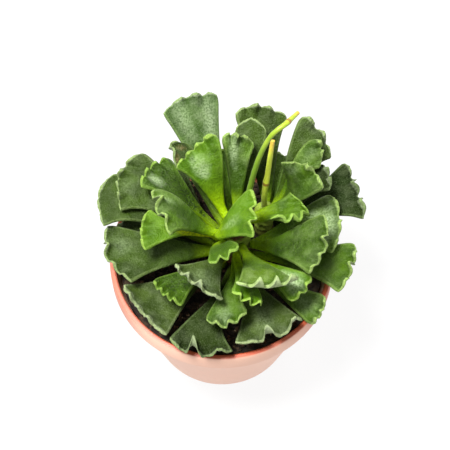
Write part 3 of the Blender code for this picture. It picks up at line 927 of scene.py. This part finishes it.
@dataclass(frozen=True)
class Leaf:
    """One leaf, in millimetres and degrees.

    It leaves its stem at the root height, rising by its lift, and ends at the tip, the middle of its
    margin. Swing turns the root round the stem. Pitch and turn are the slope and the sideways bend of
    its last part, roll tips its blade to one side and fold lifts both side edges. Lean is how far the
    margin is bent up, and curl how far its waves bend it up and down from there. Each crest has its
    place on the margin, 0 to 1 from corner to corner, and its height, 1 for a common one. Corners are
    how far the two corners lie behind the tip. Stalk is the share of the length before the blade widens.
    """

    number: int
    stem: Stem
    root: float
    swing: float
    tip: tuple[float, float, float]
    pitch: float
    turn: float
    roll: float
    width: float
    fold: float
    lean: float
    curl: float
    crests: tuple[tuple[float, float], ...]
    corners: tuple[float, float]
    stalk: float
    slot: str
    shade: Shade
    lift: float = 10.0

    GAP = 0.3
    PETIOLE_HALF_WIDTH = 1.6
    PETIOLE_HALF_DEPTH = 1.5
    BLADE_HALF_DEPTH = 1.05
    MARGIN_HALF_DEPTH = 0.48
    MARGIN_BEAD = 0.1
    BEAD_WIDTH = 0.7
    ROOT_HOLD = 0.30
    TIP_HOLD = 0.35
    BOWED_LENGTH = 1.03
    FLARE = 1.3
    FOLD_AT_ROOT = 0.3
    FOLD_FULL = 0.6
    BLADE_FROM = 0.55
    THIN_FROM = 0.7
    EDGE_ROUND = 2.5
    AT_RIM = 0.9999
    RIM_EASE = 3.0
    CURL_LENGTH = 6.5
    LEAST_BEND = 0.001
    CREST_REACH = 0.027
    CREST_SWELL = 1.6
    CREST_SIDE = 0.2
    CORNER_FREE = 0.04
    CORNER_BOW = 1.3
    CORNER_ROUND = 1.0
    CORNER_SHORT = 8
    CORNER_IN = 0.9
    CORNER_FROM = 0.9
    MARGIN_ZONE = 8.0
    MARGIN_ROWS = 0.55
    ROW_CROWDING = 1.6
    COLUMN_CROWDING = 0.85
    PUFF = 0.40
    PUFF_FROM = 0.4
    PUFF_EASE = 0.3
    PUFFS = ((1.0, 2.6, 1.0, 3.38, 2.0), (0.4, 1.1, 3.0, 1.3, 0.0))
    FRILL = 0.12
    FRILL_REACH = 2.0
    RIPPLES = ((2.1, 0.5, 1.0), (3.7, 0.35, 1.7), (6.1, 0.15, 2.9))

    @property
    def seed(self) -> float:
        """Give the number that shifts this leaf's ripples and puffs."""
        return self.root + self.tip[0]

    def centreline(self) -> tuple[Array, Array, Array, Array]:
        """Give the leaf's middle as a Bezier curve.

        Returns:
            Its four points, from root to tip.
        """
        tip = np.array(self.tip, float)
        heading = math.atan2(tip[1] - self.stem.y, tip[0] - self.stem.x) + math.radians(self.swing)
        outward = np.array([math.cos(heading), math.sin(heading), 0.0])
        pitch, lift = math.radians(self.pitch), math.radians(self.lift)
        clearance = self.GAP + self.PETIOLE_HALF_DEPTH * math.sin(lift)
        root = np.array([self.stem.x, self.stem.y, self.root]) + outward * (self.stem.radius + clearance)
        across = math.atan2(tip[1] - root[1], tip[0] - root[0]) + math.radians(self.turn)
        start = outward * math.cos(lift) + np.array([0.0, 0.0, math.sin(lift)])
        end = np.array([math.cos(across), math.sin(across), math.tan(pitch)]) * math.cos(pitch)
        span = np.linalg.norm(tip - root)
        return root, root + start * span * self.ROOT_HOLD, tip - end * span * self.TIP_HOLD, tip

    def wave(self, place: Array) -> Array:
        """Give how the margin is bent at places on it.

        Args:
            place: The places, from 0 to 1.

        Returns:
            The bend, -1 in the lobes and up to 1 at the crests. A crest reaches halfway to the next.
        """
        wave = np.full(place.shape, -1.0)
        for number, (centre, height) in enumerate(self.crests):
            before = min(centre + self.CORNER_FREE, self.CREST_SIDE)
            after = min(1.0 - centre + self.CORNER_FREE, self.CREST_SIDE)
            if number > 0:
                before = (centre - self.crests[number - 1][0]) / 2
            if number < len(self.crests) - 1:
                after = (self.crests[number + 1][0] - centre) / 2
            away = np.where(place < centre, (centre - place) / before, (place - centre) / after)
            wave += 2.0 * height * np.cos(np.clip(away, 0.0, 1.0) * math.pi / 2) ** self.CREST_SWELL
        return wave

    def ripple(self, place: Array) -> Array:
        """Give the small unevenness of the margin, about -1 to 1, at places from 0 to 1 on it."""
        return sum(height * np.sin(pace * place * self.width + shift * self.seed)
                   for pace, height, shift in self.RIPPLES)

    def bent(self, blank: Array) -> tuple[Array, tuple[Array, ...], tuple[Array, ...]]:
        """Bend the blank to this leaf.

        Args:
            blank: The points of the blank, from -1 to 1 each way.

        Returns:
            The points of the leaf in millimetres, their wave, place across and side, and their
            distances from margin and side edge with the share along the leaf.
        """
        first, _, _, last = self.centreline()
        length = np.linalg.norm(last - first) * self.BOWED_LENGTH
        edge_half = self.MARGIN_HALF_DEPTH + self.MARGIN_BEAD
        bow = self.COLUMN_CROWDING * math.pi / 2
        across = np.sin(bow * blank[:, 0]) / math.sin(bow)
        rows = (blank[:, 1] + 1) / 2
        side = blank[:, 2]

        # Rows stand close together near the margin.
        near = np.clip((1 - rows) / self.MARGIN_ROWS, 0, 1) ** self.ROW_CROWDING * self.MARGIN_ZONE
        rest = np.clip((1 - self.MARGIN_ROWS - rows) / (1 - self.MARGIN_ROWS), 0, 1)
        from_margin = near + rest * (length - self.MARGIN_ZONE)
        along = 1 - from_margin / length
        spread = np.clip((along - self.stalk) / (1.0 - self.stalk), 0.0, 1.0) ** self.FLARE
        half_width = self.PETIOLE_HALF_WIDTH + (self.width / 2 - self.PETIOLE_HALF_WIDTH) * spread
        turned_in = np.clip((along - self.CORNER_FROM) / (1.0 - self.CORNER_FROM), 0.0, 1.0) ** 2
        half_width = half_width - self.CORNER_IN * turned_in
        from_side = (1 - np.abs(across)) * half_width

        # The rim of the slab is rounded: its middle stands out by half the thickness.
        rim = np.sqrt(np.clip(1 - side ** 2, 0, 1))
        at_side = np.where(np.abs(blank[:, 0]) > self.AT_RIM, rim, 0.0)
        at_margin = np.where(rows > self.AT_RIM, rim, 0.0)
        across = across * (half_width - edge_half * (1 - at_side)) / half_width

        # The waved margin: the last part of the blade bends up and down in turn.
        place = (across + 1.0) / 2
        ripple = self.ripple(place)
        wave = self.wave(place)
        bend = np.radians(self.lean + self.curl * (wave + self.FRILL * ripple))
        bend = np.where(np.abs(bend) < self.LEAST_BEND, self.LEAST_BEND, bend)
        away = np.abs(across)
        lag = np.where(across < 0, self.corners[0], self.corners[1]) * away ** self.CORNER_BOW
        lag = lag + self.CORNER_ROUND * away ** self.CORNER_SHORT
        reach = length * along - lag * spread ** 2
        reach = reach - edge_half * (1 - at_margin) * smooth_step(1 - from_margin / self.RIM_EASE)
        reach = reach + self.FRILL * ripple * smooth_step(1 - from_margin / self.FRILL_REACH)
        curl_start = length - lag - self.CURL_LENGTH
        past = np.clip(reach - curl_start, 0.0, None)
        past = past * (1.0 + self.CREST_REACH * self.lean * wave * past / self.CURL_LENGTH ** 2)
        angle = bend * past / self.CURL_LENGTH
        forward = np.where(past > 0, curl_start + self.CURL_LENGTH / bend * np.sin(angle), reach)
        upward = self.CURL_LENGTH / bend * (1.0 - np.cos(angle))

        # The thickness, with a fleshy bead along the margin and soft puffs in the blade.
        blade = smooth_step(along / self.BLADE_FROM)
        depth = self.PETIOLE_HALF_DEPTH + (self.BLADE_HALF_DEPTH - self.PETIOLE_HALF_DEPTH) * blade
        thinning = smooth_step((along - self.THIN_FROM) / (1 - self.THIN_FROM))
        depth = depth + (self.MARGIN_HALF_DEPTH - self.BLADE_HALF_DEPTH) * thinning
        rounding = np.sqrt(np.clip(1.0 - away ** self.EDGE_ROUND, 0.0, 1.0))
        bead = self.MARGIN_BEAD * np.exp(-(from_margin / self.BEAD_WIDTH) ** 2)
        half_depth = side * (self.MARGIN_HALF_DEPTH + (depth - self.MARGIN_HALF_DEPTH) * rounding + bead)
        lumps = sum(height * np.sin(across * half_width / wide + turn * self.seed)
                    * np.sin(along * length / long + shift * self.seed)
                    for height, wide, turn, long, shift in self.PUFFS)
        puff = self.PUFF * lumps * smooth_step((along - self.PUFF_FROM) / self.PUFF_EASE)
        puff = puff * smooth_step((1 - away) / self.PUFF_EASE)
        forward = forward - half_depth * np.sin(angle)
        upward = upward + half_depth * np.cos(angle) + puff * smooth_step(from_margin / self.RIM_EASE)

        # The fold lifts both side edges on an arc.
        folded = self.FOLD_AT_ROOT + (1 - self.FOLD_AT_ROOT) * smooth_step(along / self.FOLD_FULL)
        fold = math.radians(self.fold) * folded
        sideways = (half_width / fold - upward) * np.sin(fold * across)
        upward = half_width / fold * (1.0 - np.cos(fold * across)) + upward * np.cos(fold * across)

        roll = math.radians(self.roll) * blade
        points = self._along_centreline(forward / length, length, roll, sideways, upward)
        return points, (wave, across, side), (from_margin, from_side, along)

    def _along_centreline(self, share: Array, length: float, roll: Array,
                          sideways: Array, upward: Array) -> Array:
        """Lay the leaf's points along its centreline.

        Args:
            share: How far along the leaf each point lies, past 1 beyond its tip.
            length: The leaf's length.
            roll: How far the blade is rolled over there, in radians.
            sideways: How far the point lies to the right of the centreline.
            upward: How far it lies above it.

        Returns:
            The points.
        """
        a, b, c, d = self.centreline()
        t = np.clip(share, 0.0, 1.0)[:, None]
        middle = (1 - t) ** 3 * a + 3 * (1 - t) ** 2 * t * b + 3 * (1 - t) * t ** 2 * c + t ** 3 * d
        ahead = unit((1 - t) ** 2 * (b - a) + 2 * (1 - t) * t * (c - b) + t ** 2 * (d - c))
        middle = middle + ahead * (share[:, None] - t) * length
        right = unit(np.cross(ahead, (0.0, 0.0, 1.0)))
        top = np.cross(right, ahead)
        cosine, sine = np.cos(roll)[:, None], np.sin(roll)[:, None]
        rolled_right, rolled_top = right * cosine - top * sine, top * cosine + right * sine
        return middle + rolled_right * sideways[:, None] + rolled_top * upward[:, None]

    def build(self, blank: Piece) -> None:
        """Copy the blank, bend it to this leaf and dress it.

        Args:
            blank: The flat slab.
        """
        piece = bpy.data.objects.new(f"crinkled_leaf_{self.number:02d}", blank.data.copy())
        bpy.context.scene.collection.objects.link(piece)
        piece.data.name = piece.name
        points, waves, edges = self.bent(points_of(blank))
        shift_points(piece, points * MM)
        write_marks(piece, "leaf_waves", waves)
        write_marks(piece, "leaf_edges", edges)
        finish = LeafFinish(f"leaf_skin_{self.number:02d}", self.shade, PATCHES.get(self.number, ()))
        dress(piece, finish.material(), f"leaf_{self.number:02d}")


MAIN = Stem("main_stem", 5.5, 2.0, 5.0, 86.0, bare_top=6.0)
SIDE = Stem("side_stem", 16.0, 14.0, 3.6, 75.0)
FRONT_STALK = FlowerStalk(
    "flower_stalk_front",
    ((8.8, 7.8, 81, 1.25), (8.9, 8.5, 85, 1.15), (9.6, 10.4, 90, 1.1), (10.5, 12, 96, 1.05),
     (11.5, 12.8, 103, 1.0), (13, 14, 111, 0.95), (15, 15.5, 117, 0.92), (17, 17, 121, 0.9),
     (19.5, 18.4, 123, 0.88), (22, 20, 123.5, 1.0), (24.3, 23, 122.8, 0.82), (26.5, 26, 121.5, 0.72)),
    (50.5,), 0.0, 4.0)
BACK_STALK = FlowerStalk(
    "flower_stalk_back",
    ((16, 14.2, 75.6, 1.25), (15.8, 13.4, 79, 1.15), (15.6, 12.9, 84, 1.1), (15.6, 12.8, 88, 1.05),
     (16, 13.6, 94, 1.2), (16.6, 15.2, 98.5, 1.0), (17, 17, 103, 0.95), (17.6, 19, 108.5, 0.9),
     (18, 20.5, 112, 0.75)),
    (18.6,), 0.85, 9.0)
YOUNG, GROWN, OLD = "leaf_young", "leaf_grown", "leaf_old"
LIME, BRIGHT, MEADOW, DEEP, DARK, SAGE, PALE, FELTED = Shade
GLOW, PAINTED_SHADE, SHEEN, SCORCH = Tint

# Patches on single leaves: painted highlights, painted shade, painted light shining through and dry spots.
PATCHES: dict[int, tuple[Patch, ...]] = {
    1: (Patch(GLOW, 0.85, -0.45, 0.18, 0.4, 0.22), Patch(GLOW, 0.8, 0.6, 0.24, 0.4, 0.24),
        Patch(PAINTED_SHADE, 0.55, 0.5, 0.16, 0.5, 0.4)),
    2: (Patch(PAINTED_SHADE, 0.6, 0.0, 0.3, 1.2, 0.2), Patch(SCORCH, 0.92, -0.5, 0.06, 0.4, 0.6),
        Patch(SCORCH, 0.9, 0.3, 0.05, 0.3, 0.5)),
    3: (Patch(PAINTED_SHADE, 0.78, 0.6, 0.2, 0.5, 0.35), Patch(GLOW, 0.9, -0.2, 0.1, 0.4, 0.06)),
    5: (Patch(PAINTED_SHADE, 0.72, 0.75, 0.35, 0.5, 0.4), Patch(GLOW, 0.76, -0.2, 0.2, 0.5, 0.5)),
    6: (Patch(GLOW, 0.82, -0.3, 0.2, 0.5, 0.4), Patch(PAINTED_SHADE, 0.6, 0.5, 0.25, 0.5, 0.3)),
    10: (Patch(GLOW, 0.8, 0.0, 0.2, 0.5, 0.12),),
    11: (Patch(PAINTED_SHADE, 0.66, 0.1, 0.2, 0.5, 0.2), Patch(GLOW, 0.85, -0.5, 0.12, 0.3, 0.15)),
    13: (Patch(GLOW, 0.8, 0.0, 0.2, 0.9, 0.5),),
    14: (Patch(PAINTED_SHADE, 0.6, 0.0, 0.7, 1.6, 0.7),),
    15: (Patch(GLOW, 0.6, 0.0, 0.2, 0.4, 0.2), Patch(PAINTED_SHADE, 0.8, 0.5, 0.2, 0.4, 0.15)),
    17: (Patch(PAINTED_SHADE, 0.6, 0.0, 0.7, 1.6, 0.5), Patch(PAINTED_SHADE, 0.5, 0.2, 0.3, 0.8, 0.6),
         Patch(PAINTED_SHADE, 0.8, 0.7, 0.22, 0.4, 0.4), Patch(PAINTED_SHADE, 0.85, -0.6, 0.14, 0.4, 0.35)),
    19: (Patch(GLOW, 0.78, 0.0, 0.24, 0.8, 0.8),),
    21: (Patch(GLOW, 0.8, 0.0, 0.2, 0.7, 0.15),),
    22: (Patch(GLOW, 0.75, 0.1, 0.2, 0.5, 0.1), Patch(PAINTED_SHADE, 0.5, 0.0, 0.2, 0.8, 0.35)),
    24: (Patch(GLOW, 0.84, 0.15, 0.15, 0.5, 0.2), Patch(PAINTED_SHADE, 0.6, 0.0, 0.3, 0.9, 0.3)),
    27: (Patch(GLOW, 0.8, 0.0, 0.2, 0.7, 0.12), Patch(PAINTED_SHADE, 0.5, 0.0, 0.2, 0.8, 0.25)),
    28: (Patch(PAINTED_SHADE, 0.6, 0.0, 0.7, 1.6, 0.9),),
    29: (Patch(PAINTED_SHADE, 0.6, 0.0, 0.25, 0.9, 0.3),),
    30: (Patch(PAINTED_SHADE, 0.6, 0.2, 0.25, 0.6, 0.35), Patch(GLOW, 0.85, 0.3, 0.12, 0.4, 0.12)),
    31: (Patch(PAINTED_SHADE, 0.9, 0.0, 0.12, 0.9, 0.3), Patch(PAINTED_SHADE, 0.8, 0.0, 0.2, 0.9, 0.15),
         Patch(SHEEN, 0.28, 0.0, 0.34, 2.0, 0.9)),
    32: (Patch(PAINTED_SHADE, 0.62, 0.1, 0.22, 0.5, 0.35), Patch(GLOW, 0.85, 0.5, 0.12, 0.3, 0.2)),
    33: (Patch(PAINTED_SHADE, 0.6, 0.0, 0.7, 1.6, 0.95), Patch(PAINTED_SHADE, 0.7, 0.4, 0.25, 0.6, 0.5),
         Patch(GLOW, 0.86, -0.4, 0.1, 0.35, 0.35)),
}

LEAVES: tuple[Leaf, ...] = (
    Leaf(1, MAIN, 66, 0, (-13, 55.5, 88), 8, -4, 5, 23.6, 10, 10, 35,
         ((0.33, 0.8), (0.64, 1), (0.88, 0.6)), (3.6, 1.2), 0.14, OLD, PALE),
    Leaf(2, MAIN, 75, 4, (-20.1, 30.9, 91), 6, 34, 6, 11.6, 10, 15, 35,
         ((0.3, 1), (0.72, 0.8)), (6.1, 3.7), 0.2, GROWN, DEEP),
    Leaf(3, MAIN, 66.5, 0, (-39.9, 23, 80), -5, 21.3, -10, 25.8, 10, 15, 45,
         ((0.06, 0.4), (0.24, 0.8), (0.43, 0.5), (0.62, 1), (0.84, 0.6)), (3.3, 5.5), 0.14, OLD, DEEP),
    Leaf(4, MAIN, 62, 0, (-47, 16, 75.6), -10, 26.4, -4, 23, 10, 5, 20,
         ((0.15, 0.5), (0.42, 0.5), (0.72, 0.9)), (0.3, 5.1), 0.14, OLD, DEEP),
    Leaf(5, MAIN, 80, 0, (-10.4, 24, 101.4), 2, 5, -18, 20.2, 10, 10, 38,
         ((0.15, 0.8), (0.36, 0.9), (0.6, 0.8), (0.85, 0.9)), (0.9, 0.4), 0.14, YOUNG, LIME),
    Leaf(6, MAIN, 78, 0, (6.2, 32.9, 97), 16, -4.9, 10, 13, 25, 20, 50,
         ((0.12, 0.4), (0.42, 1), (0.74, 0.7)), (0.3, 1.6), 0.14, GROWN, MEADOW),
    Leaf(7, MAIN, 72, 0, (11, 41.1, 95), 18, 7.6, 2, 13, 10, 0, 6,
         ((0.3, 0.5), (0.7, 0.5)), (3.2, 3.7), 0.14, OLD, DEEP),
    Leaf(8, SIDE, 63.5, -10, (15, 49.2, 91.2), 5, -8.5, 12, 21.3, 14, 10, 35,
         ((0.12, 0.3), (0.36, 1), (0.66, 0.8), (0.9, 0.5)), (2.9, 3.1), 0.06, OLD, DEEP),
    Leaf(9, SIDE, 66, 0, (37.9, 40.6, 86), -8, -4.2, 17, 19.9, 10, 12, 40,
         ((0.14, 0.7), (0.6, 0.9), (0.86, 0.5)), (0.4, 4.8), 0.14, OLD, DEEP),
    Leaf(10, SIDE, 69.5, 0, (37.9, 30, 90), -6, -20, 10, 12, 10, 15, 40,
         ((0.2, 0.8), (0.62, 0.7)), (0.3, 3.5), 0.14, OLD, MEADOW),
    Leaf(11, SIDE, 72.5, -10, (31.7, 21, 95), 10, 25.3, 2, 20.6, 10, 18, 45,
         ((0.2, 0.5), (0.55, 1), (0.86, 0.6)), (5.1, 2.6), 0.05, GROWN, MEADOW),
    Leaf(12, SIDE, 62.5, 0, (40.5, 22.6, 84), -4, -8.9, 0, 12.7, 10, 15, 40,
         ((0.3, 0.8), (0.72, 0.8)), (0.3, 0.3), 0.14, OLD, DARK),
    Leaf(13, MAIN, 67, 0, (44.9, 6.9, 75.5), -6, -5.4, -3, 26.5, 10, 20, 45,
         ((0.2, 0.7), (0.57, 1), (0.86, 0.5)), (1.6, 3.6), 0, OLD, MEADOW),
    Leaf(14, SIDE, 59, 0, (52.2, 22.6, 73), -8, 2.7, 4, 25.5, 12, 30, 60,
         ((0.12, 0.3), (0.42, 1), (0.78, 0.9)), (0.3, 0.3), 0.2, OLD, DARK),
    Leaf(15, MAIN, 82.5, 252, (12.1, -2.7, 103), 40, 3.9, 0, 20.3, 14, 10, 35,
         ((0.15, 0.3), (0.48, 0.9), (0.78, 1)), (0.3, 0.3), 0.14, YOUNG, LIME, 30),
    Leaf(16, MAIN, 82, 29, (32, 3, 89.5), 14, -3, -16, 18.5, 68, 10, 30,
         ((0.1, 0.5), (0.34, 1), (0.6, 1.2), (0.75, 1), (0.9, 0.8)), (7, 10), 0, YOUNG, BRIGHT, 0),
    Leaf(17, MAIN, 72, 0, (38.2, -9.8, 90), 10, 1.8, 10, 24.6, 10, 22, 52,
         ((0.17, 0.4), (0.42, 1), (0.7, 0.7), (0.9, 0.6)), (3, 2.8), 0.08, GROWN, MEADOW),
    Leaf(18, MAIN, 77, 0, (16.4, -30, 91), 5, -9.7, -14, 25.6, 10, 85, 8,
         ((0.14, 0.9), (0.39, 1), (0.68, 1), (0.9, 0.3)), (1.5, 0.5), 0.14, GROWN, FELTED),
    Leaf(19, MAIN, 68, 0, (30.3, -24, 81), 10, 1.5, 20, 13.1, 10, 20, 40,
         ((0.28, 0.8), (0.66, 0.8)), (1, 1.5), 0.2, GROWN, LIME),
    Leaf(20, MAIN, 63, 0, (49, -11, 73), 8, -3.3, 0, 22.4, 10, 28, 58,
         ((0.26, 0.7), (0.49, 1), (0.8, 0.6)), (1.4, 1.4), 0.2, OLD, MEADOW),
    Leaf(21, MAIN, 59.5, 0, (37.3, -26.3, 68), 10, 8, 18, 13.1, 10, 20, 38,
         ((0.15, 0.5), (0.5, 0.8), (0.8, 0.8)), (1.3, 0.3), 0.25, OLD, MEADOW),
    Leaf(22, MAIN, 63, 0, (18, -39, 71), 4, -6.6, 3, 27.3, 10, 35, 50,
         ((0.1, 1), (0.54, 1.3), (0.76, 0.4)), (3.3, 0.6), 0.2, OLD, SAGE),
    Leaf(23, MAIN, 59.5, 0, (-7.5, -44.2, 68), -8, 20.3, 0, 24.5, 10, 28, 58,
         ((0.19, 0.9), (0.63, 1.4), (0.9, 0.4)), (1.2, 4.7), 0.35, OLD, DARK),
    Leaf(24, MAIN, 67, 4, (1.2, -37.1, 79), 0, 3, 19, 16.7, 10, 15, 40,
         ((0.12, 0.5), (0.35, 0.9), (0.68, 0.9)), (4.1, 3.1), 0.25, GROWN, MEADOW),
    Leaf(25, MAIN, 71, -6, (8.9, -30.4, 86), 14, -14.1, -28, 13.4, 10, 15, 42,
         ((0.15, 0.8), (0.5, 0.8), (0.82, 0.6)), (0.5, 1.3), 0.2, YOUNG, LIME),
    Leaf(26, MAIN, 77.8, -32, (1.4, -19.4, 98), 20, 8, 18, 13.2, 16, 12, 28,
         ((0.27, 0.8), (0.62, 0.9)), (2.3, 0.9), 0, YOUNG, BRIGHT, 22),
    Leaf(27, MAIN, 75, 0, (-10.5, -25.4, 85), 10, -0.8, -12, 23.5, 10, 65, 22,
         ((0.14, 0.6), (0.47, 1), (0.73, 0.9), (0.93, 0.6)), (0.3, 0.5), 0.25, OLD, SAGE),
    Leaf(28, MAIN, 66.5, 0, (-21, -23.2, 76), 10, 5.7, 0, 15.8, 10, 15, 38,
         ((0.2, 0.8), (0.43, 0.8), (0.67, 0.8), (0.88, 0.6)), (0.3, 0.7), 0.32, GROWN, BRIGHT),
    Leaf(29, MAIN, 59, 0, (-30.3, -26.5, 66), 4, 0.4, 0, 27.9, 10, 42, 24,
         ((0.12, 0.7), (0.35, 1), (0.58, 0.8), (0.8, 1)), (0.4, 0.3), 0.25, OLD, SAGE),
    Leaf(30, MAIN, 64.5, 0, (-43.8, -5.5, 73), 8, 2.9, 4, 26.7, 10, 25, 52,
         ((0.1, 0.5), (0.3, 0.7), (0.62, 1), (0.88, 0.5)), (6.8, 2), 0.04, OLD, DEEP),
    Leaf(31, MAIN, 75, -6, (-30, 1, 82), 6, -1.8, -8, 17.2, 10, 10, 34,
         ((0.2, 0.6), (0.45, 0.7), (0.72, 0.8)), (0.6, 2), 0.45, YOUNG, LIME),
    Leaf(32, MAIN, 78.5, 8, (-23.7, 1.7, 95), 12, 18.8, 8, 21.2, 10, 20, 62,
         ((0.27, 0.8), (0.68, 1), (0.93, 0.3)), (2.7, 0.3), 0.14, GROWN, MEADOW),
    Leaf(33, MAIN, 70, 0, (-27.6, 25.2, 85), -3, 1.7, 10, 18.8, 10, 15, 42,
         ((0.15, 0.7), (0.4, 0.7), (0.66, 0.8), (0.88, 0.6)), (1.5, 3), 0.3, GROWN, BRIGHT),
    # Leaves 34 and 35 lie deep at the back and left, where their dark colour is partly painted shade.
    Leaf(34, MAIN, 58.5, 0, (-40, 10, 66), 0, 0, 0, 20, 10, 10, 35,
         ((0.15, 0.7), (0.5, 1), (0.82, 0.7)), (3.6, 3.6), 0.25, OLD, DARK),
    Leaf(35, MAIN, 60, 0, (-25, 32, 67), 0, 0, 0, 22, 10, 10, 35,
         ((0.2, 0.8), (0.48, 0.8), (0.8, 1)), (3.4, 3.4), 0.25, OLD, DARK),
    Leaf(36, MAIN, 58.5, 0, (0, 43, 68), 2, 0, 0, 22, 10, 10, 35,
         ((0.18, 1), (0.5, 0.8), (0.82, 0.8)), (3.3, 3.3), 0.4, OLD, LIME),
    Leaf(37, SIDE, 59, 0, (27, 41, 68), 0, 0, 0, 20, 10, 10, 35,
         ((0.2, 0.8), (0.55, 1), (0.85, 0.7)), (2.6, 2.6), 0.25, OLD, MEADOW),
)


@dataclass(frozen=True)
class Foliage:
    """All the leaves; the narrow ones are bent from a blank with fewer faces."""

    wide: LeafBlank = LeafBlank(96, 28)
    narrow: LeafBlank = LeafBlank(72, 26)
    narrow_width: float = 16.0

    def build(self) -> None:
        """Model both blanks, then bend every leaf."""
        blanks = {True: self.narrow.model(), False: self.wide.model()}
        for leaf in LEAVES:
            leaf.build(blanks[leaf.width <= self.narrow_width])
        for blank in blanks.values():
            discard(blank)


@dataclass(frozen=True)
class Softbox:
    """A square area light: where it stands, its size, and its power in watts."""

    name: str
    place: tuple[float, float, float]
    size: float
    power: float

    def build(self, target: Vector) -> None:
        """Add the light.

        Args:
            target: The point that it looks at.
        """
        deselect_everything()
        place = Vector(self.place) * MM
        turned = (target - place).to_track_quat("-Z", "Y").to_euler()
        bpy.ops.object.light_add(type="AREA", location=place, rotation=turned)
        lamp = bpy.context.active_object
        lamp.name = self.name
        lamp.data.size = self.size * MM
        lamp.data.energy = self.power


@dataclass(frozen=True)
class Studio:
    """A plain pale floor, soft light and the camera at the photograph's angle."""

    target: tuple[float, float, float] = (1.2, 0.0, 87.3)
    distance: float = 450.0
    elevation: float = 62.3
    lens: float = 99.6
    film: float = 36.0
    sky: float = 0.355
    floor_size: float = 8000.0
    floor_glow: float = 0.90
    boxes: tuple[Softbox, ...] = (
        Softbox("softbox_over", (-300.0, -50.0, 1100.0), 320.0, 22.5),
        Softbox("softbox_behind", (350.0, 850.0, 850.0), 500.0, 4.0),
    )

    def build(self) -> None:
        """Lay the floor, hang the lights and set up the camera."""
        deselect_everything()
        bpy.ops.mesh.primitive_plane_add(size=self.floor_size * MM)
        floor = bpy.context.active_object
        floor.name = "studio_floor"
        paper = MaterialBench("studio_paper").finished(
            Base_Color=(0.08, 0.08, 0.08, 1.0), Roughness=0.9,
            Emission_Color=(1.0, 1.0, 1.0, 1.0), Emission_Strength=self.floor_glow)
        floor.data.materials.append(paper)
        world = bpy.data.worlds.new("studio_sky")
        bpy.context.scene.world = world
        world.use_nodes = True
        sky = world.node_tree.nodes["Background"]
        sky.inputs["Color"].default_value = (1.0, 1.0, 1.0, 1.0)
        sky.inputs["Strength"].default_value = self.sky
        target = Vector(self.target) * MM
        for box in self.boxes:
            box.build(target)
        tilt = math.radians(self.elevation)
        back = Vector((0.0, -math.cos(tilt), math.sin(tilt))) * self.distance * MM
        bpy.ops.object.camera_add(location=target + back, rotation=(math.pi / 2 - tilt, 0.0, 0.0))
        camera = bpy.context.active_object
        camera.data.sensor_width = self.film
        camera.data.lens = self.lens
        camera.data.clip_start = 0.01
        bpy.context.scene.camera = camera
        bpy.context.scene.view_settings.view_transform = "Standard"


def main() -> None:
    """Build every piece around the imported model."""
    logging.basicConfig(level=logging.INFO, format="%(message)s")
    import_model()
    pot = Pot()
    for part in (pot, Soil(pot), MAIN, SIDE, FRONT_STALK, BACK_STALK, Foliage(), Studio()):
        part.build()


if __name__ == "__main__":
    main()
